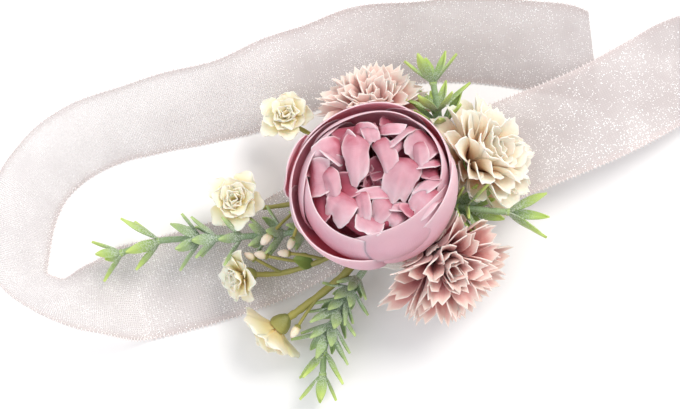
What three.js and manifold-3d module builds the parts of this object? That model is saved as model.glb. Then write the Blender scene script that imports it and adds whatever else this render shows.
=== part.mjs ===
// Pin-on corsage: a peony head, three chrysanthemum heads, blossom sprays and leaf sprigs
// on a felt round, with an organza ribbon held between two felts and a bar pin on the back.
// Millimetres. The origin is the centre of the backing felt's rear face, +Z towards the flowers.

import * as THREE from "three";
import { mergeVertices } from "three/addons/utils/BufferGeometryUtils.js";
import Module from "manifold-3d";

const wasm = await Module();
wasm.setup();

// Shared clearances and stock thicknesses
const SEAT_GAP = 0.3;
const PETAL_THICKNESS = 0.4;
const LEAF_THICKNESS = 0.4;

// Felt rounds and ribbon
const FELT_DIAMETER = 38;
const FELT_THICKNESS = 1.2;
const RIBBON_WIDTH = 25;
const RIBBON_THICKNESS = 0.35;
const RIBBON_END_SLANT = 9;
const RIBBON_SPREAD = 188;
const TABLE_DEPTH = 7.7;

// Bar pin
const PIN_LENGTH = 32;
const PIN_WIDTH = 5;
const PIN_PLATE = 0.8;
const PIN_OFFSET = 8;
const CLOTH_GAP = 4.5;
const NEEDLE_DIAMETER = 0.9;
const EYE_DIAMETER = 2.5;
const RIVET_DIAMETER = 1;
const EAR_DIAMETER = 3;
const EAR_THICKNESS = 0.6;
const CATCH_LENGTH = 3;
const CATCH_WALL = 0.55;
const ROTOR_DIAMETER = 3;
const ROTOR_TAB = 1.2;
const RUN_CLEARANCE = 0.08;

// Peony head
const PEONY_DIAMETER = 41;
const PEONY_HEIGHT = 23;
const PEONY_AT = [-5.4, -4.4];
const PEONY_TILT = 6;
const GUARD_PETALS = 5;
const PEG_RADIUS = 0.9;

// Chrysanthemum heads: foot on a felt of 38, heading of the lean, lean, petal length
const MUM_TOP = { at: [-5.4, 15.2], heading: 94, lean: 31, petal: 12.4 };
const MUM_RIGHT = { at: [15.6, 5.4], heading: 14, lean: 40, petal: 14.6 };
const MUM_LOW = { at: [8, -14.4], heading: -56, lean: 37, petal: 15.8 };
const STRAP_WIDTH = 4.3;

// Blossom sprays and sprigs
const BLOSSOM_DIAMETER = 14;
const SPRAY_STEM = 1.1;
const SPRIG_STEM = 1.5;
const STEM_REACH = 70;
const LEAF_LENGTH = 8.2;
const LEAF_WIDTH = 2.3;

const ribbonLevel = FELT_THICKNESS + SEAT_GAP + RIBBON_THICKNESS / 2;
const frontBase = FELT_THICKNESS + RIBBON_THICKNESS + 2 * SEAT_GAP;
const frontTop = frontBase + FELT_THICKNESS;
const feltRadius = FELT_DIAMETER / 2;
const tableLevel = -TABLE_DEPTH + RIBBON_THICKNESS / 2;

// The ribbon's stations are drawn for a spread of 188, the stems' routes for a reach of 70
// and the heads' feet for a felt of 38
const ribbonScale = RIBBON_SPREAD / 188;
const stemScale = STEM_REACH / 70;
const footScale = FELT_DIAMETER / 38;

const corsage = new THREE.Group();
corsage.name = "corsage";

// Solids and materials

function solidOf(geometry) {
  const bare = new THREE.BufferGeometry();
  bare.setAttribute("position", geometry.getAttribute("position"));
  if (geometry.index) bare.setIndex(geometry.index);
  const welded = mergeVertices(bare, 1e-5);
  return new wasm.Manifold(new wasm.Mesh({
    numProp: 3,
    vertProperties: new Float32Array(welded.getAttribute("position").array),
    triVerts: new Uint32Array(welded.index.array),
  }));
}

function geometryOf(solid) {
  const mesh = solid.getMesh();
  const points = [];
  for (let i = 0; i < mesh.vertProperties.length; i += mesh.numProp) {
    points.push(mesh.vertProperties[i], mesh.vertProperties[i + 1], mesh.vertProperties[i + 2]);
  }
  const geometry = new THREE.BufferGeometry();
  geometry.setAttribute("position", new THREE.Float32BufferAttribute(points, 3));
  geometry.setIndex(Array.from(mesh.triVerts));
  geometry.computeVertexNormals();
  return geometry;
}

function union(solids) {
  return solids.reduce((sum, next) => sum.add(next));
}

// The body that a cut leaves hanging together with the rest of its piece
function mainBody(solid) {
  const bodies = solid.decompose();
  return bodies.reduce((best, body) => (body.volume() > best.volume() ? body : best));
}

function place(solid, matrix) {
  return solidOf(geometryOf(solid).applyMatrix4(matrix));
}

function finish(color, roughness, metalness) {
  return new THREE.MeshStandardMaterial({ color, roughness, metalness });
}

function addPiece(group, name, solid, material) {
  const mesh = new THREE.Mesh(geometryOf(solid), material.clone());
  mesh.name = name;
  group.add(mesh);
  return mesh;
}

const felt = finish("#f3efe9", 0.95, 0);
const organza = finish("#e6dedc", 0.45, 0);
const nickel = finish("#c9cacc", 0.28, 1);
const steel = finish("#d5d6d8", 0.22, 1);
const guardSilk = finish("#dcabbd", 0.75, 0);
const roseSilk = finish("#b8526a", 0.78, 0);
const heartSilk = finish("#a33b50", 0.8, 0);
const blushSilk = finish("#e3a9b4", 0.78, 0);
const creamSilk = finish("#f2e0bd", 0.78, 0);
const duskSilk = finish("#d99aa6", 0.78, 0);
const blossomFoam = finish("#f2e6c0", 0.8, 0);
const oliveStem = finish("#9a9648", 0.6, 0);
const sprigGreen = finish("#86b05a", 0.5, 0);
const sprigFrost = finish("#9aa886", 0.85, 0);
const calyxGreen = finish("#6f8a4a", 0.6, 0);

// Closed solid round a sheet of points, offset half the thickness to each side along the normals;
// faces run counter-clockwise seen from the upper side and rim edges follow the faces' direction
function thicken(points, normals, faces, rim, thickness) {
  const sheet = points.length;
  const places = [];
  const index = [];
  for (const side of [0.5, -0.5]) {
    points.forEach((p, i) => places.push(...p.clone().addScaledVector(normals[i], side * thickness).toArray()));
  }
  for (const [a, b, c] of faces) index.push(a, b, c, sheet + a, sheet + c, sheet + b);
  for (const [p, q] of rim) index.push(q, p, sheet + p, q, sheet + p, sheet + q);
  const geometry = new THREE.BufferGeometry();
  geometry.setAttribute("position", new THREE.Float32BufferAttribute(places, 3));
  geometry.setIndex(index);
  return solidOf(geometry);
}

// Upper normal of a surface, s along it from 0 to 1 and v across it from -1 to 1
function normalAt(pointAt, s, v) {
  const step = 1e-3;
  const along = pointAt(Math.min(s + step, 1), v).sub(pointAt(Math.max(s - step, 0), v));
  const across = pointAt(s, Math.min(v + step, 1)).sub(pointAt(s, Math.max(v - step, -1)));
  return along.cross(across).normalize();
}

function shell(pointAt, rows, columns, thickness) {
  const points = [];
  const normals = [];
  const faces = [];
  const rim = [];
  const at = (i, j) => i * (columns + 1) + j;
  for (let i = 0; i <= rows; i++) {
    for (let j = 0; j <= columns; j++) {
      const s = i / rows;
      const v = -1 + (2 * j) / columns;
      points.push(pointAt(s, v));
      normals.push(normalAt(pointAt, s, v));
    }
  }
  for (let i = 0; i < rows; i++) {
    for (let j = 0; j < columns; j++) {
      const [a, b, c, d] = [at(i, j), at(i + 1, j), at(i + 1, j + 1), at(i, j + 1)];
      faces.push([a, b, c], [a, c, d]);
    }
    rim.push([at(i, 0), at(i + 1, 0)], [at(i + 1, columns), at(i, columns)]);
  }
  for (let j = 0; j < columns; j++) rim.push([at(rows, j), at(rows, j + 1)], [at(0, j + 1), at(0, j)]);
  return thicken(points, normals, faces, rim, thickness);
}

// Upright cylinder from z to z + height
function post(radius, z, height, sides = 10) {
  const geometry = new THREE.CylinderGeometry(radius, radius, height, sides);
  return solidOf(geometry.rotateX(Math.PI / 2).translate(0, 0, z + height / 2));
}

// Solid of revolution about Z from [radius, z] points that start and end on the axis
function turned(profile, sides) {
  const points = profile.map(([r, z]) => new THREE.Vector2(r, z));
  return solidOf(new THREE.LatheGeometry(points, sides).rotateX(Math.PI / 2));
}

// Round stem along a curve
function stem(points, diameter, steps, sides = 6) {
  const section = new THREE.Shape();
  section.absarc(0, 0, diameter / 2, 0, 2 * Math.PI, false);
  const path = new THREE.CatmullRomCurve3(points.map((p) => new THREE.Vector3(...p)));
  const options = { steps, extrudePath: path, curveSegments: sides / 2, bevelEnabled: false };
  return solidOf(new THREE.ExtrudeGeometry(section, options));
}

// Ring of petals cut from one sheet: a small disc, bored for the head's peg or left whole, whose
// rim runs out into petals. petalAt(k) gives petal k's surface as a function of s and v, and
// has(k) says whether this sheet has petal k.
function sheetRing(ring, petalAt, has = () => true) {
  const { count, hubRadius, hubHeight, bore = 0, phase = 0, rows, columns, thickness } = ring;
  const up = new THREE.Vector3(0, 0, 1);
  const stations = count * columns;
  const around = (q, radius) => {
    const angle = phase + ((q / columns - 0.5) * 2 * Math.PI) / count;
    return new THREE.Vector3(radius * Math.cos(angle), radius * Math.sin(angle), hubHeight);
  };
  const points = [];
  const normals = [];
  const faces = [];
  const rim = [];
  const addPoint = (point, normal) => {
    points.push(point);
    normals.push(normal);
    return points.length - 1;
  };
  const edge = [];
  for (let q = 0; q < stations; q++) edge.push(addPoint(around(q, hubRadius), up.clone()));
  const inner = [];
  if (bore > 0) {
    for (let q = 0; q < stations; q++) inner.push(addPoint(around(q, bore), up));
  } else {
    inner.push(addPoint(new THREE.Vector3(0, 0, hubHeight), up));
  }
  for (let q = 0; q < stations; q++) {
    const next = (q + 1) % stations;
    const near = inner[bore > 0 ? q : 0];
    faces.push([near, edge[q], edge[next]]);
    if (bore > 0) {
      faces.push([near, edge[next], inner[next]]);
      rim.push([inner[next], near]);
    }
  }
  for (let k = 0; k < count; k++) {
    const pointAt = petalAt(k);
    const grid = [];
    for (let i = 0; i <= rows; i++) {
      const row = [];
      for (let j = 0; j <= columns; j++) {
        const v = -1 + (2 * j) / columns;
        const normal = normalAt(pointAt, i / rows, v);
        const shared = edge[(k * columns + j) % stations];
        if (i === 0) normals[shared].add(normal).normalize();
        if (i === 0 || has(k)) row.push(i === 0 ? shared : addPoint(pointAt(i / rows, v), normal));
      }
      grid.push(row);
    }
    if (!has(k)) {
      for (let j = 0; j < columns; j++) rim.push([grid[0][j], grid[0][j + 1]]);
      continue;
    }
    for (let i = 0; i < rows; i++) {
      for (let j = 0; j < columns; j++) {
        const [a, b, c, d] = [grid[i][j], grid[i + 1][j], grid[i + 1][j + 1], grid[i][j + 1]];
        faces.push([a, b, c], [a, c, d]);
      }
      rim.push([grid[i][0], grid[i + 1][0]], [grid[i + 1][columns], grid[i][columns]]);
    }
    for (let j = 0; j < columns; j++) rim.push([grid[rows][j], grid[rows][j + 1]]);
  }
  return thicken(points, normals, faces, rim, thickness);
}

// Petals that lie across their neighbours are cut as separate sheets on the same disc and joined
function partedRing(ring, petalAt) {
  const odd = ring.count % 2;
  const sheets = [];
  for (let part = 0; part < 2 + odd; part++) {
    const has = (k) => (odd && k === ring.count - 1 ? 2 : k % 2) === part;
    sheets.push(sheetRing(ring, petalAt, has));
  }
  return union(sheets);
}

function onAxis(r, side, turn, z) {
  return new THREE.Vector3(
    r * Math.cos(turn) - side * Math.sin(turn),
    r * Math.sin(turn) + side * Math.cos(turn),
    z,
  );
}

// Strap-shaped blades that lean from openBase to openTip degrees off the axis
function bladeRing(ring) {
  const { count, length, width, hubRadius, hubHeight, openBase, openTip, cup, outline } = ring;
  const { phase = 0, vary = 0, rows = 2, columns = 2, parted = false } = ring;
  const start = new THREE.Vector2(hubRadius, hubHeight);
  const way = (angle, reach) => {
    const lean = THREE.MathUtils.degToRad(angle);
    return new THREE.Vector2(Math.sin(lean), Math.cos(lean)).multiplyScalar(reach);
  };
  const cutRing = parted ? partedRing : sheetRing;
  return cutRing({ ...ring, rows, columns }, (k) => {
    const turn = phase + (2 * Math.PI * k) / count;
    const half = (length * (1 + vary * Math.sin(2.4 * k))) / 2;
    const knee = start.clone().add(way(openBase, half));
    const rib = new THREE.QuadraticBezierCurve(start, knee, knee.clone().add(way(openTip, half)));
    return (s, v) => {
      const at = rib.getPoint(s);
      const along = rib.getTangent(s);
      const share = outline[0] * (1 - s) ** 2 + 2 * outline[1] * s * (1 - s) + outline[2] * s * s;
      const lift = cup * share * v * v * Math.min(1, 2 * s);
      return onAxis(at.x - along.y * lift, (v * width * share) / 2, turn, at.y + along.x * lift);
    };
  });
}

// Broad petals cupped on a surface of revolution; each petal's one edge lies outside its
// neighbour and the other inside, and ruffled petals wave towards the rim
function cupRing(ring) {
  const { count, profile, halfAngle, round, leaf, ruffle = 0, waves = 2, phase = 0 } = ring;
  const { vary = 0, rows = 4, columns = 4 } = ring;
  const [hubRadius, hubHeight] = profile[0];
  const wall = new THREE.SplineCurve(profile.map(([r, z]) => new THREE.Vector2(r, z)));
  const sector = Math.PI / count;
  const widest = THREE.MathUtils.degToRad(halfAngle);
  return sheetRing({ ...ring, hubRadius, hubHeight, rows, columns }, (k) => {
    const turn = phase + (2 * Math.PI * k) / count;
    const reach = 1 - vary * (0.5 + 0.5 * Math.sin(2.4 * k + phase));
    return (s, v) => {
      const at = wall.getPoint(s * reach * (1 - round * v * v * Math.min(1, 2 * s)));
      const half = THREE.MathUtils.lerp(0.97 * sector, widest, THREE.MathUtils.smoothstep(s, 0.2, 0.6));
      const wave = ruffle * s * s * Math.sin(waves * Math.PI * v + k);
      const r = at.x + leaf * v * Math.min(1, 2 * s) + wave;
      return onAxis(r, 0, turn + half * v, at.y);
    };
  });
}

// Backing: two felts with the ribbon between them

addPiece(corsage, "backing_felt", post(feltRadius, 0, FELT_THICKNESS, 40), felt);
addPiece(corsage, "front_felt", post(feltRadius - 0.5, frontBase, FELT_THICKNESS, 40), felt);

// Ribbon stations from the end of the right tail through the felts to the end of the left
// tail: x, y, height of the middle line, and bank in degrees (left edge up is positive)
const restHeight = (bank) => tableLevel + (RIBBON_WIDTH / 2) * Math.sin(THREE.MathUtils.degToRad(Math.abs(bank)));
const ribbonStations = [
  [92, -42, tableLevel, 0],
  [91, -26, tableLevel, 0],
  [91.5, -10, tableLevel, 0],
  [93, 4, restHeight(20), -20],
  [94, 17, restHeight(52), -52],
  [92.5, 28, restHeight(60), -60],
  [86, 36, restHeight(60), -60],
  [77, 35.2, restHeight(40), -40],
  [66, 28.6, 2.4, -12],
  [52, 21, 2.6, 0],
  [36, 14.4, 1, 0],
  [28, 11.2, 0.9, 0],
  [19, 7.6, ribbonLevel, 0],
  [0, 0, ribbonLevel, 0],
  [-18.5, -8, ribbonLevel, 0],
  [-32, -13.8, -5.2, 0],
  [-47.5, -18.9, tableLevel, 0],
  [-64.3, -23.3, tableLevel, 0],
  [-75, -25.4, restHeight(40), 40],
  [-84.6, -25.6, restHeight(63), 63],
  [-92.2, -21.4, restHeight(64), 64],
  [-93.4, -11, restHeight(58), 58],
  [-91, 0, restHeight(57), 57],
  [-86.4, 6.4, restHeight(60), 60],
  [-79.4, 11.6, restHeight(63), 63],
  [-71, 16.2, restHeight(60), 60],
  [-61, 19.5, restHeight(56), 56],
  [-49.3, 22.8, restHeight(51), 51],
  [-36.4, 26.4, restHeight(48), 48],
  [-22.2, 31.8, restHeight(50), 50],
  [-8.3, 37.1, restHeight(49), 49],
  [6.2, 39.6, restHeight(48), 48],
  [21.1, 39.8, restHeight(47), 47],
  [37.2, 37.8, restHeight(46), 46],
  [50.5, 35.2, restHeight(46), 46],
];

const ribbonRoute = new THREE.CatmullRomCurve3(
  ribbonStations.map(([x, y]) => new THREE.Vector3(x, y, 0).multiplyScalar(ribbonScale)),
);
const lastStation = ribbonStations.length - 1;

function ribbonValue(t, column) {
  const place = Math.min(t * lastStation, lastStation - 1e-9);
  const i = Math.floor(place);
  const blend = THREE.MathUtils.smoothstep(place - i, 0, 1);
  return THREE.MathUtils.lerp(ribbonStations[i][column], ribbonStations[i + 1][column], blend);
}

function ribbonPoint(t, v) {
  const way = ribbonRoute.getTangent(t);
  const bank = THREE.MathUtils.degToRad(ribbonValue(t, 3));
  const reach = (v * RIBBON_WIDTH) / 2;
  const slant = RIBBON_END_SLANT * v * Math.max(0, 1 - t * lastStation);
  const at = ribbonRoute.getPoint(t).addScaledVector(way, slant);
  at.x -= way.y * reach * Math.cos(bank);
  at.y += way.x * reach * Math.cos(bank);
  at.z = ribbonValue(t, 2) + reach * Math.sin(bank);
  return at;
}

addPiece(corsage, "ribbon", shell(ribbonPoint, 2 * lastStation, 1, RIBBON_THICKNESS), organza);

// Room already taken up, which the pieces added later are pressed away from
const taken = [shell(ribbonPoint, 2 * lastStation, 1, RIBBON_THICKNESS + 2 * SEAT_GAP)];

// Bar pin: plate with hinge ears and catch, rivet, needle and turning safety lock

const pin = new THREE.Group();
pin.name = "bar_pin";
pin.position.set(0, PIN_OFFSET, 0);
corsage.add(pin);

const plateTop = -SEAT_GAP;
const plateBottom = plateTop - PIN_PLATE;
const needleLevel = plateBottom - CLOTH_GAP - NEEDLE_DIAMETER / 2;
const eyeWidth = 1.4;
const earInner = eyeWidth / 2 + SEAT_GAP;
const earOuter = earInner + EAR_THICKNESS;
const hingeX = -PIN_LENGTH / 2 + 2.2;
const catchX = PIN_LENGTH / 2 - CATCH_LENGTH - 0.8;
const rotorRadius = ROTOR_DIAMETER / 2;
const catchInner = rotorRadius + 2 * RUN_CLEARANCE;
const catchOuter = catchInner + CATCH_WALL;

function circleHole(x, y, radius) {
  const hole = new THREE.Path();
  hole.absarc(x, y, radius, 0, 2 * Math.PI, true);
  return hole;
}

// Flat outline in the X-Z plane, extruded along Y from y to y + depth
function sidePlate(shape, y, depth, segments) {
  const geometry = new THREE.ExtrudeGeometry(shape, { depth, bevelEnabled: false, curveSegments: segments });
  return solidOf(geometry.rotateX(Math.PI / 2).translate(0, y + depth, 0));
}

// Flat outline in the Y-Z plane, extruded along X from x to x + depth
function endPlate(shape, x, depth, segments) {
  const geometry = new THREE.ExtrudeGeometry(shape, { depth, bevelEnabled: false, curveSegments: segments });
  const turn = new THREE.Matrix4().makeBasis(
    new THREE.Vector3(0, 1, 0),
    new THREE.Vector3(0, 0, 1),
    new THREE.Vector3(1, 0, 0),
  );
  return solidOf(geometry.applyMatrix4(turn).translate(x, 0, 0));
}

function barPlate() {
  const end = PIN_LENGTH / 2 - PIN_WIDTH / 2;
  const outline = new THREE.Shape();
  outline.absarc(end, 0, PIN_WIDTH / 2, -Math.PI / 2, Math.PI / 2, false);
  outline.absarc(-end, 0, PIN_WIDTH / 2, Math.PI / 2, (3 * Math.PI) / 2, false);
  for (const x of [-6, 0, 6]) outline.holes.push(circleHole(x, 0, 0.9));
  const geometry = new THREE.ExtrudeGeometry(outline, { depth: PIN_PLATE, bevelEnabled: false, curveSegments: 5 });
  return solidOf(geometry.translate(0, 0, plateBottom));
}

function hingeEar(y) {
  const radius = EAR_DIAMETER / 2;
  const root = plateBottom + PIN_PLATE / 2;
  const outline = new THREE.Shape();
  outline.moveTo(hingeX - radius, root);
  outline.lineTo(hingeX - radius, needleLevel);
  outline.absarc(hingeX, needleLevel, radius, Math.PI, 2 * Math.PI, false);
  outline.lineTo(hingeX + radius, root);
  outline.holes.push(circleHole(hingeX, needleLevel, RIVET_DIAMETER / 2 + RUN_CLEARANCE));
  return sidePlate(outline, y, EAR_THICKNESS, 6);
}

// Open ring whose mouth faces away from the plate
function catchCup() {
  const mouth = THREE.MathUtils.degToRad(80);
  const from = -Math.PI / 2 + mouth;
  const to = (3 * Math.PI) / 2 - mouth;
  const ring = new THREE.Shape();
  ring.absarc(0, needleLevel, catchOuter, from, to, false);
  ring.absarc(0, needleLevel, catchInner, to, from, true);
  const neckTop = plateBottom + PIN_PLATE / 2;
  const neckBottom = needleLevel + catchInner + CATCH_WALL / 2;
  const neck = new THREE.BoxGeometry(CATCH_LENGTH, 1.6, neckTop - neckBottom);
  neck.translate(catchX + CATCH_LENGTH / 2, 0, (neckTop + neckBottom) / 2);
  return endPlate(ring, catchX, CATCH_LENGTH, 14).add(solidOf(neck));
}

function hingeRivet() {
  const shank = RIVET_DIAMETER / 2;
  const grip = earOuter + RUN_CLEARANCE;
  const head = grip + 0.4;
  const profile = [[0, -head], [shank + 0.35, -head], [shank + 0.35, -grip], [shank, -grip]];
  profile.push([shank, grip], [shank + 0.35, grip], [shank + 0.35, head], [0, head]);
  const points = profile.map(([r, y]) => new THREE.Vector2(r, y));
  return solidOf(new THREE.LatheGeometry(points, 12).translate(hingeX, 0, needleLevel));
}

function needle() {
  const radius = NEEDLE_DIAMETER / 2;
  const eye = new THREE.Shape();
  eye.absarc(hingeX, needleLevel, EYE_DIAMETER / 2, 0, 2 * Math.PI, false);
  eye.holes.push(circleHole(hingeX, needleLevel, RIVET_DIAMETER / 2 + RUN_CLEARANCE));
  const from = hingeX + EYE_DIAMETER / 2 - 0.35;
  const tip = PIN_LENGTH / 2 + 0.6;
  const profile = [[0, from], [radius, from], [radius, tip - 2.6], [radius * 0.55, tip - 0.9], [0, tip]];
  const points = profile.map(([r, x]) => new THREE.Vector2(r, x));
  const shaft = new THREE.LatheGeometry(points, 10).rotateZ(-Math.PI / 2).translate(0, 0, needleLevel);
  return sidePlate(eye, -eyeWidth / 2, eyeWidth, 6).add(solidOf(shaft));
}

// Slotted sleeve round the needle's tip, drawn unlocked with its slot facing the needle's way out
function safetyRotor() {
  const bore = NEEDLE_DIAMETER / 2 + 0.35;
  const slot = NEEDLE_DIAMETER / 2 + 0.15;
  const outer = Math.asin(slot / rotorRadius);
  const inner = Math.asin(slot / bore);
  const sleeve = new THREE.Shape();
  sleeve.absarc(0, needleLevel, rotorRadius, -Math.PI / 2 + outer, (3 * Math.PI) / 2 - outer, false);
  sleeve.absarc(0, needleLevel, bore, (3 * Math.PI) / 2 - inner, -Math.PI / 2 + inner, true);
  const length = CATCH_LENGTH - 0.4;
  const tab = new THREE.BoxGeometry(length * 0.6, ROTOR_TAB + 0.4, 0.8);
  tab.translate(0, rotorRadius - 0.4 + (ROTOR_TAB + 0.4) / 2, 0);
  tab.rotateX(THREE.MathUtils.degToRad(-28));
  tab.translate(catchX + CATCH_LENGTH / 2, 0, needleLevel);
  return endPlate(sleeve, catchX + 0.2, length, 14).add(solidOf(tab));
}

const pinBar = union([barPlate(), hingeEar(earInner), hingeEar(-earOuter), catchCup()]);
addPiece(pin, "pin_bar", pinBar, nickel);
addPiece(pin, "pin_rivet", hingeRivet(), nickel);
addPiece(pin, "pin_needle", needle(), steel);
addPiece(pin, "pin_safety_rotor", safetyRotor(), nickel);

// Flower heads stand on the front felt, leaning off the vertical towards a heading

function headGroup(name, [x, y], headingDegrees, leanDegrees, footRadius) {
  const group = new THREE.Group();
  const lean = THREE.MathUtils.degToRad(leanDegrees);
  const heading = THREE.MathUtils.degToRad(headingDegrees);
  group.name = name;
  group.position.set(x, y, frontTop + SEAT_GAP + footRadius * Math.sin(lean));
  const axis = new THREE.Vector3(-Math.sin(heading), Math.cos(heading), 0);
  group.quaternion.setFromAxisAngle(axis, lean);
  group.updateMatrixWorld(true);
  corsage.add(group);
  return group;
}

function carve(solid, group, rooms = taken) {
  const inverse = group.matrixWorld.clone().invert();
  const cut = rooms.reduce((rest, room) => rest.subtract(place(room, inverse)), solid);
  return mainBody(cut);
}

// Peony: two rings of smooth guard petals round three rings of ruffled petals and a bud

const peony = headGroup("peony", PEONY_AT, 90, PEONY_TILT, 2.6);
const peonyRadius = PEONY_DIAMETER / 2;
const cupWall = (scale, base, lift, rim) => [
  [base, 4.3 + lift],
  [0.58 * peonyRadius * scale, 5.6 + lift],
  [0.87 * peonyRadius * scale, 0.42 * PEONY_HEIGHT + lift * 0.8],
  [peonyRadius * scale, 0.66 * PEONY_HEIGHT + lift * 0.6],
  [0.985 * peonyRadius * scale, 0.84 * PEONY_HEIGHT + lift * 0.5],
  [rim * peonyRadius * scale, PEONY_HEIGHT + lift * 0.4],
];
const guardWall = cupWall(0.95, 3.8, 0, 0.92);
const pegBore = PEG_RADIUS + SEAT_GAP;

function peonyCalyx() {
  const cup = turned([[0, 0], [2.6, 0], [2.6, 0.9], [1.9, 1.5], [1.9, 2.2], [3.6, 2.9], [3.6, 3.5], [0, 3.5]], 14);
  const sepals = bladeRing({
    count: 5, length: 9, width: 6, hubRadius: 3, hubHeight: 2.3, openBase: 84, openTip: 76, cup: 0.5,
    outline: [0.7, 1.4, 0.1], thickness: 0.45,
  });
  return union([cup, sepals, post(PEG_RADIUS, 3, 8.6, 8)]);
}

const peonyRings = [
  {
    name: "peony_guard_outer", silk: guardSilk, count: GUARD_PETALS, profile: guardWall, halfAngle: 47,
    round: 0.16, leaf: 0.85, phase: 0.5, vary: 0.08,
  },
  {
    name: "peony_guard_inner", silk: guardSilk, count: GUARD_PETALS, profile: cupWall(0.82, 3.4, 1.5, 0.95),
    halfAngle: 46, round: 0.14, leaf: 0.8, phase: 1.15, vary: 0.06,
  },
  {
    name: "peony_ruffle_outer", silk: roseSilk, count: 8, profile: cupWall(0.64, 3, 3, 1.02), halfAngle: 25,
    round: 0.2, leaf: 0.45, ruffle: 0.5, waves: 1.5, phase: 0.2, vary: 0.14, rows: 3, columns: 3,
  },
  {
    name: "peony_ruffle_middle", silk: roseSilk, count: 6, profile: cupWall(0.45, 2.6, 4.4, 1.06), halfAngle: 32,
    round: 0.22, leaf: 0.45, ruffle: 0.5, waves: 1.5, phase: 0.7, vary: 0.12, rows: 3, columns: 3,
  },
  {
    name: "peony_ruffle_inner", silk: heartSilk, count: 5, profile: cupWall(0.28, 2.2, 5.8, 1.1), halfAngle: 36,
    round: 0.24, leaf: 0.4, ruffle: 0.35, waves: 1.5, phase: 0.1, vary: 0.1, rows: 3, columns: 3,
  },
];
addPiece(peony, "peony_calyx", peonyCalyx(), calyxGreen);
for (const ring of peonyRings) {
  addPiece(peony, ring.name, cupRing({ thickness: PETAL_THICKNESS, bore: pegBore, ...ring }), ring.silk);
}
const bud = cupRing({
  count: 3, profile: [[0.9, 12.4], [1.9, 13.6], [2.5, 16], [2.7, 19], [2.4, 21.5]], halfAngle: 48, round: 0.25,
  leaf: 0.3, thickness: PETAL_THICKNESS, bore: 0, rows: 3, columns: 3,
});
addPiece(peony, "peony_bud", bud, heartSilk);

taken.push(place(
  turned([
    [0, -1],
    [3.2, -1],
    [3.2, 1.6],
    [11.6, 2.6],
    ...guardWall.slice(1).map(([r, z]) => [r + 1.6, z - 0.9]),
    [0, PEONY_HEIGHT + 8],
  ], 28),
  peony.matrixWorld,
));

// Stems: the foot follows the felt and the rest of the route the stems' reach

const reached = (points) => points.map((point) => point.map((place) => place * stemScale));
const laid = ([[x, y, z], ...rest]) => [[x * footScale, y * footScale, z], ...reached(rest)];

const sprigSeat = frontTop + SEAT_GAP + SPRIG_STEM / 2;
const sprigRoutes = {
  sprig_left: [[-13, -6, sprigSeat], [-20, -9.4, 4.4], [-44, -11.6, 3], [-58.6, -12, 1.6], [-68, -14.8, 0.4]],
  sprig_low: [[-3, -14.4, sprigSeat], [-8, -20, 4], [-14.6, -30, 2.4], [-17.4, -38, 1.2], [-18, -45, 0.2]],
  sprig_top: [[8.6, 7.6, sprigSeat], [11, 13.4, 10.5], [9.9, 19.6, 15], [9, 24.4, 16.6]],
  sprig_right: [[11, -3.4, sprigSeat], [15.6, -5.4, 11], [21, -6.8, 14], [27, -7.4, 14.6]],
};

function sprigRod(name, diameter) {
  const route = laid(sprigRoutes[name]);
  return stem(route, diameter, 4 * (route.length - 1));
}

// The sprigs that stand between the heads are set first, and the petals are pressed round their stems
const standing = new Map();
for (const name of ["sprig_top", "sprig_right"]) {
  const rod = taken.reduce((rest, room) => rest.subtract(room), sprigRod(name, SPRIG_STEM));
  standing.set(name, { rod: mainBody(rod), room: sprigRod(name, SPRIG_STEM + 2 * SEAT_GAP) });
}
taken.push(...[...standing.values()].map(({ room }) => room));

// Chrysanthemums: three rings of strap petals and a tuft, threaded on the calyx peg

function mumCalyx() {
  const cup = turned([[0, 0], [2.2, 0], [2.2, 0.8], [1.5, 1.3], [1.5, 2], [3.4, 2.9], [3.4, 3.4], [0, 3.4]], 12);
  return cup.add(post(PEG_RADIUS, 3, 4.5, 8));
}

function mumRings(petal, swell) {
  const strap = { width: STRAP_WIDTH + swell, cup: 0.7, outline: [0.5, 1.45, 0.12], thickness: PETAL_THICKNESS + swell };
  return [
    { ...strap, count: 11, length: petal, hubRadius: 2.6, hubHeight: 3.8, openBase: 66, openTip: 88, bore: pegBore },
    {
      ...strap, count: 9, length: petal * 0.9, hubRadius: 2.4, hubHeight: 5.2, openBase: 42, openTip: 66, bore: pegBore,
      phase: 0.3,
    },
    {
      ...strap, count: 7, length: petal * 0.78, hubRadius: 2.2, hubHeight: 6.6, openBase: 22, openTip: 44, bore: pegBore,
      phase: 0.1, width: STRAP_WIDTH * 0.93,
    },
    {
      ...strap, count: 4, length: petal * 0.62, hubRadius: 1.5, hubHeight: 8, openBase: 6, openTip: 22, phase: 0.5,
      width: STRAP_WIDTH * 0.8, parted: true,
    },
  ];
}

const mumRingNames = ["petals_outer", "petals_middle", "petals_inner", "tuft"];

function addMum(name, { at, heading, lean, petal }, silk) {
  const group = headGroup(name, at.map((place) => place * footScale), heading, lean, 2.2);
  addPiece(group, `${name}_calyx`, carve(mumCalyx(), group), calyxGreen);
  const swollen = mumRings(petal + SEAT_GAP, 2 * SEAT_GAP).map((ring) => bladeRing({ vary: 0.07, ...ring }));
  mumRings(petal, 0).forEach((ring, i) => {
    const solid = carve(bladeRing({ vary: 0.07, ...ring }), group);
    addPiece(group, `${name}_${mumRingNames[i]}`, solid, silk);
  });
  taken.push(...swollen.map((solid) => place(solid, group.matrixWorld)));
  taken.push(place(turned([[0, -1], [2.8, -1], [4, 4.4], [0, 4.4]], 12), group.matrixWorld));
}

addMum("mum_top", MUM_TOP, blushSilk);
addMum("mum_right", MUM_RIGHT, creamSilk);
addMum("mum_low", MUM_LOW, duskSilk);

// Blossom sprays: olive stems with calyxes and buds, each stem ending in a double blossom

const stemSeat = frontTop + SEAT_GAP + SPRAY_STEM / 2;

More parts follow.
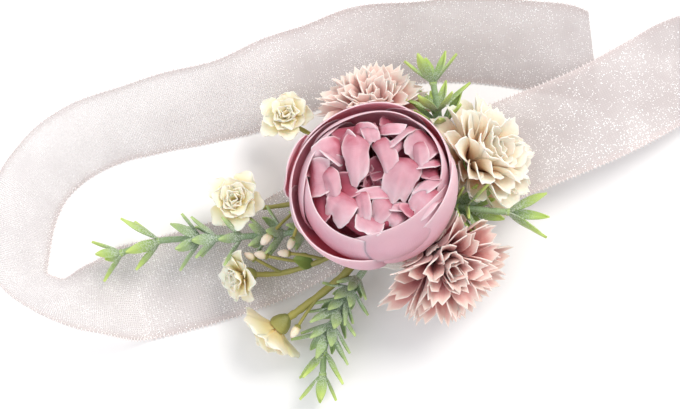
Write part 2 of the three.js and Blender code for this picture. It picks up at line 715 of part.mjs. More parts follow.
// Blossom of two petal rings facing along an axis; its calyx is part of the stem
function addBlossom(name, tip, facing, scale) {
  const group = new THREE.Group();
  group.name = name;
  group.position.set(...tip);
  const axis = new THREE.Vector3(...facing).normalize();
  group.quaternion.setFromUnitVectors(new THREE.Vector3(0, 0, 1), axis);
  group.updateMatrixWorld(true);
  corsage.add(group);
  const radius = (BLOSSOM_DIAMETER / 2) * scale;
  const rings = (swell) => {
    const petal = { outline: [0.45, 1.7, 0.55], thickness: PETAL_THICKNESS + swell, parted: true };
    return [
      bladeRing({
        ...petal, count: 6, length: radius * 0.86 + swell, width: radius * 0.72 + swell, hubRadius: 1.3, hubHeight: 2.2,
        openBase: 58, openTip: 86, cup: 0.5,
      }),
      bladeRing({
        ...petal, count: 5, length: radius * 0.56 + swell, width: radius * 0.5 + swell, hubRadius: 1, hubHeight: 3.2,
        openBase: 12, openTip: 46, cup: 0.3, phase: 0.4,
      }),
    ];
  };
  const [petals, centre] = rings(0).map((ring) => carve(ring, group));
  addPiece(group, `${name}_petals`, petals, blossomFoam);
  addPiece(group, `${name}_centre`, centre, blossomFoam);
  taken.push(...rings(2 * SEAT_GAP).map((ring) => place(ring, group.matrixWorld)));
}

function budAt([x, y, z], radius) {
  const geometry = new THREE.SphereGeometry(radius, 7, 5).scale(1, 1, 1.25);
  return solidOf(geometry.translate(x, y, z));
}

// Stem from the felt to a blossom, with side branches that each end in a bud
function addSpray(name, drawn, facing, scale, branches) {
  const route = laid(drawn);
  const tip = route[route.length - 1];
  const axis = new THREE.Vector3(...facing).normalize();
  const aim = new THREE.Matrix4().makeRotationFromQuaternion(
    new THREE.Quaternion().setFromUnitVectors(new THREE.Vector3(0, 0, 1), axis),
  );
  aim.setPosition(...tip);
  const build = (swell) => {
    const calyx = [[0, -1.2 - swell], [0.8 + swell, -0.9 - swell], [1.9 + swell, 1.2], [1.9 + swell, 1.6 + swell], [0, 1.6 + swell]];
    const solids = [stem(route, SPRAY_STEM + 2 * swell, 3 * (route.length - 1)), place(turned(calyx, 8), aim)];
    for (const branch of branches) {
      const way = reached(branch.route);
      solids.push(stem(way, SPRAY_STEM * 0.7 + 2 * swell, 2 * (way.length - 1)));
      solids.push(budAt(way[way.length - 1], branch.bud + swell));
    }
    return union(solids);
  };
  const whole = taken.reduce((rest, room) => rest.subtract(room), build(0));
  addPiece(corsage, `${name}_stem`, mainBody(whole), oliveStem);
  const room = build(SEAT_GAP);
  addBlossom(`${name}_blossom`, tip, facing, scale);
  taken.push(room);
}

addSpray("spray_top", [[-12, 9, stemSeat], [-17, 12.4, 3.9], [-23.6, 16.8, 1], [-26.6, 18.8, 1.4]], [-0.12, 0.12, 1], 0.95, []);
addSpray(
  "spray_left",
  [[-14.5, -1, stemSeat], [-22, -2.4, 3.8], [-34, -3.4, 1], [-39.2, -2.2, 1.4]],
  [-0.1, -0.05, 1],
  1.05,
  [{ route: [[-22, -2.4, 3.8], [-26.5, -4, 5.6], [-29.5, -6, 6.4]], bud: 1.3 }],
);
addSpray(
  "spray_side",
  [[-11, -13, stemSeat], [-17.6, -17, 3.7], [-28, -20, 1.4], [-35.6, -20.4, 1]],
  [-0.85, -0.3, 0.5],
  0.9,
  [
    { route: [[-17.6, -17, 3.7], [-26, -15.4, 6.6], [-32.7, -14, 8]], bud: 1.9 },
    { route: [[-28, -20, 1.4], [-31.6, -18.2, 4], [-35.4, -17, 5]], bud: 1.2 },
  ],
);
addSpray(
  "spray_low",
  [[-7.6, -15.4, stemSeat], [-13.4, -21.4, 3.6], [-22.6, -28.6, 2.2], [-27.6, -32, 1.4]],
  [-0.7, -0.5, 0.12],
  1.05,
  [{ route: [[-18.4, -25.4, 2.8], [-22.4, -32, 3.6], [-24.8, -36, 3.2]], bud: 1.2 }],
);

// Leaf sprigs: a frosted stem with whorls of lance-shaped leaves threaded along it

const stemBore = SPRIG_STEM / 2 + SEAT_GAP;

// Whorls are threaded along the stem and the last one caps it
function addSprig(name, whorls) {
  const path = new THREE.CatmullRomCurve3(laid(sprigRoutes[name]).map((p) => new THREE.Vector3(...p)));
  const { rod, room } = standing.get(name) ?? {};
  const others = taken.filter((other) => other !== room);
  const whole = rod ?? mainBody(others.reduce((rest, other) => rest.subtract(other), sprigRod(name, SPRIG_STEM)));
  addPiece(corsage, `${name}_stem`, whole, sprigFrost);
  whorls.forEach((whorl, i) => {
    const group = new THREE.Group();
    group.name = `${name}_whorl_${i + 1}`;
    group.position.copy(path.getPoint(whorl.at));
    group.quaternion.setFromUnitVectors(new THREE.Vector3(0, 0, 1), path.getTangent(whorl.at));
    group.updateMatrixWorld(true);
    corsage.add(group);
    const capped = whorl.at >= 1;
    const leaves = bladeRing({
      count: whorl.count, length: LEAF_LENGTH * whorl.scale, width: LEAF_WIDTH, hubRadius: capped ? 1.2 : stemBore + 0.7,
      hubHeight: capped ? SEAT_GAP + LEAF_THICKNESS / 2 : 0, openBase: whorl.open, openTip: whorl.open - 12, cup: 0.25,
      outline: [0.5, 1.5, 0.1], thickness: LEAF_THICKNESS, bore: capped ? 0 : stemBore, phase: whorl.phase,
      parted: true,
    });
    addPiece(group, `${name}_leaves_${i + 1}`, carve(leaves, group, others), sprigGreen);
  });
}

addSprig("sprig_left", [
  { at: 0.34, count: 5, scale: 0.8, open: 62, phase: 0.2 },
  { at: 0.44, count: 5, scale: 0.85, open: 60, phase: 0.9 },
  { at: 0.57, count: 5, scale: 0.95, open: 56, phase: 0.4 },
  { at: 0.76, count: 5, scale: 1, open: 52, phase: 1 },
  { at: 1, count: 5, scale: 0.9, open: 34, phase: 0.3 },
]);
addSprig("sprig_low", [
  { at: 0.36, count: 5, scale: 0.7, open: 62, phase: 0.3 },
  { at: 0.48, count: 5, scale: 0.85, open: 60, phase: 0.8 },
  { at: 0.65, count: 5, scale: 0.95, open: 58, phase: 0.2 },
  { at: 0.82, count: 5, scale: 0.95, open: 54, phase: 0.7 },
  { at: 1, count: 5, scale: 0.8, open: 36, phase: 0.1 },
]);
addSprig("sprig_top", [
  { at: 0.6, count: 5, scale: 0.95, open: 66, phase: 0.2 },
  { at: 1, count: 5, scale: 0.85, open: 40, phase: 0.7 },
]);
addSprig("sprig_right", [
  { at: 0.57, count: 5, scale: 0.9, open: 66, phase: 0.4 },
  { at: 1, count: 5, scale: 0.95, open: 42, phase: 0.1 },
]);

export default corsage;
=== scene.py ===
"""Pin-on corsage: pressed cloth flower heads, moulded sprigs and a glitter organza ribbon on a felt back."""
import math

import bpy
import numpy as np
from mathutils import Matrix, Vector


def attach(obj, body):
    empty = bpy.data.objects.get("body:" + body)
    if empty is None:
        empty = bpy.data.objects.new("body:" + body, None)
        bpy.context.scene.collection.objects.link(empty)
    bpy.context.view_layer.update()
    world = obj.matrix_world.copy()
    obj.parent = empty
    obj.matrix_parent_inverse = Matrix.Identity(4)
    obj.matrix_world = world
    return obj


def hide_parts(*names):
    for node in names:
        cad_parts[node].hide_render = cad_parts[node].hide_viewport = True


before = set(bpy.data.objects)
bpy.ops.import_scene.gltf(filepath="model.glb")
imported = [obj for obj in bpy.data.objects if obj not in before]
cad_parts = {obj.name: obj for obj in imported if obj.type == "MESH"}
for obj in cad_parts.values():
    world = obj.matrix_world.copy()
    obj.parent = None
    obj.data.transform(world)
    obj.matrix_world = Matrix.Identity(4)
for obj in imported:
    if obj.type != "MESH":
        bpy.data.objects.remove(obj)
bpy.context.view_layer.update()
draw = np.random.default_rng(11)

# Sizes in millimetres, as in the part's source
MM = 0.001
FELT_TOP = 3.35
SEAT_GAP = 0.3
RIBBON_WIDTH = 25
RIBBON_LEVEL = 1.675
RIBBON_REST = -7.525
RIGHT_END_SLANT = 9
PEONY_RADIUS = 20.5
PEONY_HEIGHT = 23
BLOSSOM_RADIUS = 7
LEAF_LENGTH = 8.2
SPRAY_STEM = 1.1
SPRIG_STEM = 1.5
SPRAY_SEAT = 4.2
SPRIG_SEAT = 4.4
PEG_RADIUS = 0.9

# Sizes in millimetres that are the scene's own
TABLE = -7.95
RIBBON_SHEET = 0.12
PETAL_SHEET = 0.26
BLOSSOM_SHEET = 0.2
SEPAL_SHEET = 0.4
LEAF_SHEET = 0.34
STRAP_WIDTH = 5.6
LEAF_WIDTH = 2.9
PICOT_PITCH = 1.1
LEFT_END_SLANT = 4.0
FELT_SOFT_EDGE = 0.25
FELT_BULGE = 0.04
# Turned pieces stop this far from their axis
CORE = 0.05
# The cloth of two petals is taken from patches up to this far apart
PATCH_STEP = 37
# Rows and columns of points in each kind of petal and leaf
GUARD_GRID = (28, 27)
RUFFLE_GRID = (40, 25)
STRAP_GRID = (12, 13)
ROUND_GRID = (12, 11)
LEAF_GRID = (14, 9)

FULL_TURN = 2 * math.pi
# Phases of waves are drawn from about a full turn
PHASE_TURN = 6.28
# Faces that meet at more than this angle show a sharp edge
CREASE = math.radians(50)
# A direction that no stem or stitch runs along
OFF_PATHS = (0.13, 0.27, 0.95)

# The camera of the photograph: 78 degrees up, 472 mm from the point it looks at
CAMERA_RISE = math.radians(78)
CAMERA_REACH = 472
CAMERA_AIM = Vector((-13.75, -2.43, 0))
CAMERA_LENS = 100
CAMERA_SENSOR = 36


# Colours and shader nodes

ADD = {"operation": "ADD"}
MULTIPLY = {"operation": "MULTIPLY"}
MULTIPLY_ADD = {"operation": "MULTIPLY_ADD"}
COLOUR = {"data_type": "RGBA"}
# Sockets of a colour mix: its factor, its two colours and its result
MIX_BY, MIX_FROM, MIX_TO, MIXED = 0, 6, 7, 2


def linear(code):
    """An sRGB hex colour as linear RGBA."""
    parts = [int(code[i : i + 2], 16) / 255 for i in (1, 3, 5)]
    return (*[c / 12.92 if c <= 0.04045 else ((c + 0.055) / 1.055) ** 2.4 for c in parts], 1)


def set_inputs(tree, node, inputs):
    """Gives a node's inputs their values or links."""
    for key, value in inputs.items():
        if isinstance(value, bpy.types.NodeSocket):
            tree.links.new(value, node.inputs[key])
        else:
            node.inputs[key].default_value = value


def add_node(tree, kind, settings=None, inputs=None, stops=None, out=0):
    """Adds a node with its settings, input values or links, and the stops of a ramp. Returns the output
    that is used, or the whole node where out is None."""
    made = tree.nodes.new("ShaderNode" + kind)
    for key, value in (settings or {}).items():
        setattr(made, key, value)
    set_inputs(tree, made, inputs or {})
    for i, (place, code) in enumerate(stops or []):
        ramp = made.color_ramp.elements
        stop = ramp[i] if i < 2 else ramp.new(place)
        stop.position = place
        stop.color = linear(code)
    return made if out is None else made.outputs[out]


def new_material(name, **constants):
    """A material with its Principled shader's unvarying sockets set."""
    material = bpy.data.materials.new(name)
    material.use_nodes = True
    tree = material.node_tree
    shader = tree.nodes["Principled BSDF"]
    set_inputs(tree, shader, {key.replace("_", " "): value for key, value in constants.items()})
    return material, tree, shader


def read_paint(tree):
    """A piece's luck, how far along, how near an edge and which side a point is, and its place in mm."""
    paint = add_node(tree, "Attribute", {"attribute_name": "paint"}, out=None)
    split = add_node(tree, "SeparateColor", {}, {"Color": paint.outputs["Color"]}, out=None)
    lay = add_node(tree, "Attribute", {"attribute_name": "lay"}, out="Vector")
    return (paint.outputs["Alpha"], *split.outputs, lay)


def band_scale(spacing):
    """Wave texture scale for bands that far apart, because it draws a band every 2 pi / 20."""
    return FULL_TURN / 20 / spacing


def woven(tree, place, spacing, mixing):
    """Warp and weft threads that far apart, mixed into one pattern."""
    inputs = {"Vector": place, "Scale": band_scale(spacing)}
    warp, weft = [add_node(tree, "TexWave", {"bands_direction": way}, inputs, out="Fac") for way in "XY"]
    return add_node(tree, "Math", mixing, {0: warp, 1: weft})


# Materials


def petal_cloth(name, inside, outside, rim, rim_highlight_share=0.5):
    """Dyed polyester petal cloth, woven, stamped out and heat pressed: matt with a soft sheen, deeper towards
    the foot, which is the dye and in the ruffles painted shade too, paler on a cut edge, partly the cloth's
    own and partly a painted highlight, and slightly uneven from petal to petal."""
    material, tree, shader = new_material(
        name,
        IOR=1.5,
        Sheen_Weight=0.2,
        Sheen_Roughness=0.45,
        Subsurface_Weight=0.65,
        Subsurface_Radius=(1.0, 0.7, 0.68),
        Subsurface_Scale=0.0006,
    )
    luck, along, edge, side, place = read_paint(tree)
    # Dye blotches about 3 mm across
    blotch = add_node(tree, "TexNoise", {}, {"Vector": place, "Scale": 1 / 3, "Detail": 3.0})
    shift = add_node(tree, "Math", MULTIPLY_ADD, {0: blotch, 1: 0.34, 2: -0.17})
    # Where along the petal the stops are read: the deepening towards the foot is the dye, and in the ruffles
    # partly painted shade
    dye_and_shade_along = add_node(tree, "Math", ADD, {0: along, 1: shift})
    inner = add_node(tree, "ValToRGB", {}, {"Fac": dye_and_shade_along}, inside)
    outer = add_node(tree, "ValToRGB", {}, {"Fac": dye_and_shade_along}, outside)
    faces = add_node(tree, "Mix", COLOUR, {MIX_BY: side, MIX_FROM: inner, MIX_TO: outer}, out=MIXED)
    # Paler along the cut edge: partly the cloth's own edge, partly a painted highlight on the rim
    cut = add_node(tree, "Math", MULTIPLY, {0: edge, 1: rim_highlight_share})
    rim_highlighted = add_node(tree, "Mix", COLOUR, {MIX_BY: cut, MIX_FROM: faces, MIX_TO: linear(rim)}, out=MIXED)
    tint = add_node(tree, "MapRange", {}, {"Value": luck, "To Min": 0.92, "To Max": 1.06})
    toned = add_node(tree, "HueSaturation", {}, {"Color": rim_highlighted, "Value": tint})
    # Threads 0.12 mm apart in the real cloth, drawn 0.4 mm apart so that they show
    weave = woven(tree, place, 0.4, ADD)
    bump = add_node(tree, "Bump", {}, {"Strength": 0.22, "Distance": 0.00006, "Height": weave})
    rough = add_node(tree, "MapRange", {}, {"Value": blotch, "To Min": 0.66, "To Max": 0.84})
    set_inputs(tree, shader, {"Base Color": toned, "Roughness": rough, "Normal": bump})
    return material


def glitter_organza():
    """Sheer woven nylon organza with a glitter print on it: the ground lets the table through, painted shade
    makes some stretches denser and greyer, flecks in loose drifts catch the light and are painted white as
    their glint, and the stitched selvedge is denser."""
    material, tree, shader = new_material("glitter_organza", IOR=1.5, Sheen_Weight=0.2)
    # The luck channel of the ribbon's paint holds its painted shade, which draws some stretches denser and
    # greyer
    painted_shade_density, _, edge, _, place = read_paint(tree)
    # Threads 0.15 mm apart in the real cloth, drawn 0.5 mm apart so that they show
    weave = woven(tree, place, 0.5, MULTIPLY)
    # Glitter flecks 0.2 mm across in drifts about 9 mm wide
    flecks = add_node(tree, "TexVoronoi", {}, {"Vector": place, "Scale": 1 / 0.25}, out=None)
    chance = add_node(tree, "SeparateColor", {}, {"Color": flecks.outputs["Color"]})
    drift = add_node(tree, "TexNoise", {}, {"Vector": place, "Scale": 1 / 9, "Detail": 2.0})
    thinning = {"From Min": 0.3, "From Max": 0.7, "To Min": 0.97, "To Max": 0.74}
    bar = add_node(tree, "MapRange", {}, {"Value": drift, **thinning})
    lit = add_node(tree, "Math", {"operation": "GREATER_THAN"}, {0: chance, 1: bar})
    body = add_node(tree, "Math", {"operation": "LESS_THAN"}, {0: flecks.outputs["Distance"], 1: 0.45})
    fleck = add_node(tree, "Math", MULTIPLY, {0: lit, 1: body})
    ground = add_node(tree, "ValToRGB", {}, {"Fac": drift}, [(0.3, "#cfc5c4"), (0.7, "#e0d8d7")])
    edging = {MIX_BY: edge, MIX_FROM: ground, MIX_TO: linear("#dccfcd")}
    edged = add_node(tree, "Mix", COLOUR, edging, out=MIXED)
    # The glitter flecks are painted white: their own pale print, and a painted glint as well
    fleck_painted_glint = {MIX_BY: fleck, MIX_FROM: edged, MIX_TO: linear("#ffffff")}
    flecked_with_painted_glint = add_node(tree, "Mix", COLOUR, fleck_painted_glint, out=MIXED)
    # What hides the table: threads, painted shade that draws some stretches denser and greyer, the hem and
    # the flecks
    cover = add_node(tree, "Math", MULTIPLY_ADD, {0: weave, 1: 0.14, 2: 0.16})
    with_painted_shade = add_node(tree, "Math", MULTIPLY_ADD, {0: painted_shade_density, 1: 0.36, 2: cover})
    hem = add_node(tree, "Math", MULTIPLY_ADD, {0: edge, 1: 0.25, 2: with_painted_shade})
    opaque = add_node(tree, "Math", {**MULTIPLY_ADD, "use_clamp": True}, {0: fleck, 1: 0.6, 2: hem})
    rough = add_node(tree, "MapRange", {}, {"Value": fleck, "To Min": 0.48, "To Max": 0.2})
    set_inputs(tree, shader, {"Base Color": flecked_with_painted_glint, "Roughness": rough, "Alpha": opaque})
    return material


def picot_thread():
    """Twisted polyester thread whipped along the ribbon's edge: pale, slightly glossy, finely ribbed."""
    material, tree, shader = new_material("whipped_polyester_thread", IOR=1.5, Sheen_Weight=0.2)
    spot = add_node(tree, "TexCoord", out="Object")
    # Paler spots about 1.1 mm apart, and plies of 0.2 mm
    tint = add_node(tree, "TexNoise", {}, {"Vector": spot, "Scale": 900.0})
    tone = add_node(tree, "ValToRGB", {}, {"Fac": tint}, [(0.35, "#e4dad8"), (0.65, "#f4eeec")])
    ply = add_node(tree, "TexWave", {}, {"Vector": spot, "Scale": band_scale(0.0002)}, out="Fac")
    bump = add_node(tree, "Bump", {}, {"Strength": 0.3, "Distance": 0.00005, "Height": ply})
    rough = add_node(tree, "MapRange", {}, {"Value": tint, "To Min": 0.45, "To Max": 0.6})
    set_inputs(tree, shader, {"Base Color": tone, "Roughness": rough, "Normal": bump})
    return material


def wool_felt():
    """Pressed wool felt: matt, tangled fibres about 0.1 mm thick in tufts of 0.4 mm, a few darker."""
    material, tree, shader = new_material("pressed_wool_felt", Roughness=0.95, IOR=1.5, Sheen_Weight=0.4)
    spot = add_node(tree, "TexCoord", out="Object")
    tufts = {"Vector": spot, "Scale": 1 / 0.0004, "Detail": 6.0, "Distortion": 1.8}
    tangle = add_node(tree, "TexNoise", {}, tufts)
    tone = add_node(tree, "ValToRGB", {}, {"Fac": tangle}, [(0.3, "#d9d3c9"), (0.62, "#f6f2ec")])
    bump = add_node(tree, "Bump", {}, {"Strength": 0.6, "Distance": 0.0002, "Height": tangle})
    set_inputs(tree, shader, {"Base Color": tone, "Normal": bump})
    return material


def plated_metal(name, bright, dull, smooth, worn, grain):
    """Plated or drawn metal: mirror-like with a fine grain along the stock and cloudy handling marks."""
    material, tree, shader = new_material(name, Metallic=1.0)
    spot = add_node(tree, "TexCoord", out="Object")
    drawn = add_node(tree, "Mapping", {}, {"Vector": spot, "Scale": (0.08, 1.0, 1.0)})
    # Drawing marks, 0.06 mm apart in the real metal, drawn coarser so that they show
    marks = add_node(tree, "TexNoise", {}, {"Vector": drawn, "Scale": 1 / grain, "Detail": 4.0})
    # Handling marks about 3 mm across
    cloud = add_node(tree, "TexNoise", {}, {"Vector": spot, "Scale": 1 / 0.003, "Detail": 3.0})
    tone = add_node(tree, "ValToRGB", {}, {"Fac": cloud}, [(0.35, dull), (0.6, bright)])
    rough = add_node(tree, "MapRange", {}, {"Value": marks, "To Min": smooth, "To Max": worn})
    bump = add_node(tree, "Bump", {}, {"Strength": 0.08, "Distance": 0.00004, "Height": marks})
    set_inputs(tree, shader, {"Base Color": tone, "Roughness": rough, "Normal": bump})
    return material


def moulded_green(name, stops, frost, frost_code, gloss=0.5):
    """Injection moulded polyethylene foliage: satin, brighter towards the tips, dusted to a share
    with white flocking that sits thickest near the stem."""
    material, tree, shader = new_material(name, IOR=1.5)
    _, along, _, _, place = read_paint(tree)
    # Mottling about 2 mm across
    mottle = add_node(tree, "TexNoise", {}, {"Vector": place, "Scale": 1 / 2, "Detail": 3.0})
    shift = add_node(tree, "Math", MULTIPLY_ADD, {0: mottle, 1: 0.4, 2: -0.2})
    grown = add_node(tree, "Math", ADD, {0: along, 1: shift})
    green = add_node(tree, "ValToRGB", {}, {"Fac": grown}, stops)
    # Flock grains 0.3 mm across
    grain = add_node(tree, "TexNoise", {}, {"Vector": place, "Scale": 1 / 0.3, "Detail": 2.0})
    soft = {"interpolation_type": "SMOOTHSTEP"}
    dust = add_node(tree, "MapRange", soft, {"Value": grain, "From Min": 0.42, "From Max": 0.6})
    thinning = {"From Min": 0.1, "From Max": 0.8, "To Min": frost, "To Max": frost * 0.12}
    near = add_node(tree, "MapRange", {}, {"Value": along, **thinning})
    cover = add_node(tree, "Math", MULTIPLY, {0: dust, 1: near})
    frosting = {MIX_BY: cover, MIX_FROM: green, MIX_TO: linear(frost_code)}
    frosted = add_node(tree, "Mix", COLOUR, frosting, out=MIXED)
    rough = add_node(tree, "MapRange", {}, {"Value": cover, "To Min": gloss, "To Max": 0.95})
    bump = add_node(tree, "Bump", {}, {"Strength": 0.35, "Distance": 0.0001, "Height": grain})
    set_inputs(tree, shader, {"Base Color": frosted, "Roughness": rough, "Normal": bump})
    return material


# Guard cloth: the inside stops are brighter than the cloth's own deep rose, painted light that stands in for
# light glowing through the thin cloth into the shaded cup
GUARD_CLOTH = petal_cloth(
    "guard_petal_cloth",
    [(0.0, "#f2869e"), (0.5, "#ee8ca2"), (0.85, "#e290a2"), (1.0, "#e2aab8")],
    [(0.0, "#c88a97"), (0.4, "#d6a0ae"), (0.75, "#deafbc"), (1.0, "#e3b7c2")],
    "#f0d3d9",
    0.8,
)
# Ruffle cloth: the deep wine stops at the foot and shoulder are partly the dye and partly painted shade where
# the lobes turn down into the cup, and the outside stops are painted a little darker still
RUFFLE_CLOTH = petal_cloth(
    "ruffle_petal_cloth",
    [(0.0, "#a8364c"), (0.42, "#b04a60"), (0.58, "#c88c9a"), (0.8, "#d8abb6"), (1.0, "#e6c9d0")],
    [(0.0, "#a8364c"), (0.42, "#b04a60"), (0.58, "#c28090"), (0.8, "#d29eab"), (1.0, "#e2c0ca")],
    "#f2dde0",
    0.85,
)
HEART_CLOTH = petal_cloth(
    "heart_petal_cloth",
    [(0.0, "#b0445a"), (0.5, "#ac485e"), (0.8, "#ac566a"), (1.0, "#c07c8a")],
    [(0.0, "#b0445a"), (0.5, "#ac485e"), (0.8, "#ae586c"), (1.0, "#c4828f")],
    "#e6bcc6",
    0.6,
)
BLUSH_CLOTH = petal_cloth(
    "blush_strap_cloth",
    [(0.0, "#c77a80"), (0.4, "#dfaca8"), (0.75, "#efd0c8"), (1.0, "#f8e8de")],
    [(0.0, "#d0989a"), (0.5, "#e6c0bb"), (0.8, "#f1d8d0"), (1.0, "#f8e9e0")],
    "#f6e8de",
    0.3,
)
CREAM_CLOTH = petal_cloth(
    "cream_strap_cloth",
    [(0.0, "#dc8452"), (0.3, "#efbe94"), (0.65, "#f7e6ce"), (1.0, "#fbf4e8")],
    [(0.0, "#e8b68e"), (0.4, "#f4dcbc"), (0.75, "#f8ecd8"), (1.0, "#fbf5ea")],
    "#faf2e0",
    0.3,
)
DUSK_CLOTH = petal_cloth(
    "dusky_strap_cloth",
    [(0.0, "#8e3642"), (0.4, "#b8646e"), (0.72, "#deaca6"), (1.0, "#f5e2d8")],
    [(0.0, "#ac626a"), (0.45, "#cf9896"), (0.75, "#e6c2ba"), (1.0, "#f6e6dc")],
    "#f4ded6",
    0.3,
)
BLOSSOM_CLOTH = petal_cloth(
    "ivory_blossom_cloth",
    [(0.0, "#e6c874"), (0.35, "#f5e4ac"), (0.7, "#fbf2d4"), (1.0, "#fdf8e8")],
    [(0.0, "#dfc070"), (0.4, "#f2dfa8"), (0.75, "#faeece"), (1.0, "#fcf5e2")],
    "#f9f2dc",
    0.3,
)
BUD_COAT = [(0.0, "#c8b878"), (0.4, "#efe3c4"), (0.8, "#f4e6d8"), (1.0, "#e9c9bd")]
BUD_CLOTH = petal_cloth("ivory_bud_coat", BUD_COAT, BUD_COAT, "#f6ead8")
ORGANZA = glitter_organza()
PICOT = picot_thread()
FELT = wool_felt()
NICKEL = plated_metal("plated_nickel", "#d6d5d2", "#b9b7b2", 0.16, 0.34, 0.00025)
STEEL = plated_metal("drawn_spring_steel", "#dddedf", "#bfc1c4", 0.14, 0.28, 0.0002)
LEAF_GREEN = moulded_green(
    "moulded_leaf_green",
    [(0.0, "#6a8654"), (0.4, "#8fac5e"), (0.75, "#b0ca66"), (1.0, "#c2d870")],
    0.85,
    "#cfd8c8",
    0.45,
)
FROSTED_LEAF = moulded_green(
    "flocked_leaf_green",
    [(0.0, "#6f8a68"), (0.45, "#86a070"), (0.8, "#9cb676"), (1.0, "#b4cc80")],
    1.0,
    "#d3dcd2",
    0.6,
)
FROST_GREEN = moulded_green(
    "flocked_stem_green",
    [(0.0, "#6c8862"), (0.5, "#809c6e"), (1.0, "#98b074")],
    0.85,
    "#c6d2c6",
    0.6,
)
OLIVE_GREEN = moulded_green(
    "moulded_olive_stem",
    [(0.0, "#6f7a34"), (0.4, "#94924a"), (0.75, "#aaa352"), (1.0, "#b5ab5c")],
    0.12,
    "#d8d4a8",
    0.5,
)
CALYX_GREEN = moulded_green(
    "moulded_calyx_green",
    [(0.0, "#5d7a38"), (0.5, "#7c9644"), (1.0, "#93a852")],
    0.1,
    "#c8d2a8",
    0.5,
)


# Curves


def unit(vectors):
    """Vectors scaled to a length of one."""
    return vectors / np.maximum(np.linalg.norm(vectors, axis=-1, keepdims=True), 1e-9)


def distance_along(path):
    """How far along a path each of its points lies."""
    return np.concatenate([[0], np.cumsum(np.linalg.norm(np.diff(path, axis=0), axis=1))])


def sheet_places(rows, columns):
    """Places on a sheet: s from 0 to 1 along it and v from -1 to 1 across it."""
    return np.meshgrid(np.linspace(0, 1, rows), np.linspace(-1, 1, columns), indexing="ij")


def stretch(t, last):
    """The stretch of a curve that t lies in, and how far along that stretch."""
    place = np.clip(np.asarray(t, float), 0, 1) * last
    i = np.minimum(place.astype(int), last - 1)
    return i, (place - i)[..., None]


def hermite(b, c, v0, v1, w):
    """The cubic from b to c that leaves with speed v0 and arrives with speed v1."""
    return (2 * b - 2 * c + v0 + v1) * w**3 + (3 * c - 3 * b - 2 * v0 - v1) * w**2 + v0 * w + b


def spline(points, t):
    """Uniform Catmull-Rom curve through points, t from 0 to 1, in any number of dimensions."""
    p = np.asarray(points, float)
    last = len(p) - 1
    i, w = stretch(t, last)
    a, b = p[np.maximum(i - 1, 0)], p[i]
    c, d = p[i + 1], p[np.minimum(i + 2, last)]
    return hermite(b, c, (c - a) / 2, (d - b) / 2, w)


def route(points, t):
    """Centripetal Catmull-Rom curve, the kind that the part's stems and ribbon follow."""
    p = np.asarray(points, float)
    p = np.vstack([2 * p[0] - p[1], p, 2 * p[-1] - p[-2]])
    i, w = stretch(t, len(p) - 3)
    a, b, c, d = p[i], p[i + 1], p[i + 2], p[i + 3]
    g0, g1, g2 = [np.sqrt(np.linalg.norm(y - x, axis=-1))[..., None] for x, y in ((a, b), (b, c), (c, d))]
    v0 = ((b - a) / g0 - (c - a) / (g0 + g1) + (c - b) / g1) * g1
    v1 = ((c - b) / g1 - (d - b) / (g1 + g2) + (d - c) / g2) * g1
    return hermite(b, c, v0, v1, w)


def heading_along(points, t):
    """Unit direction of a route at t."""
    t = np.asarray(t, float)
    return unit(route(points, np.minimum(t + 1e-4, 1)) - route(points, np.maximum(t - 1e-4, 0)))


def ease(x, low, high):
    """Smooth step from 0 at low to 1 at high."""
    w = np.clip((np.asarray(x, float) - low) / (high - low), 0, 1)
    return w * w * (3 - 2 * w)


# Meshes


def ring_faces(rows, sides):
    """Faces of a closed bar made of rings of points, with a flat at each end."""
    faces = []
    for i in range(rows - 1):
        for j in range(sides):
            n = (j + 1) % sides
            faces.append([i * sides + j, i * sides + n, (i + 1) * sides + n, (i + 1) * sides + j])
    faces.append(list(range(sides))[::-1])
    faces.append([(rows - 1) * sides + j for j in range(sides)])
    return faces


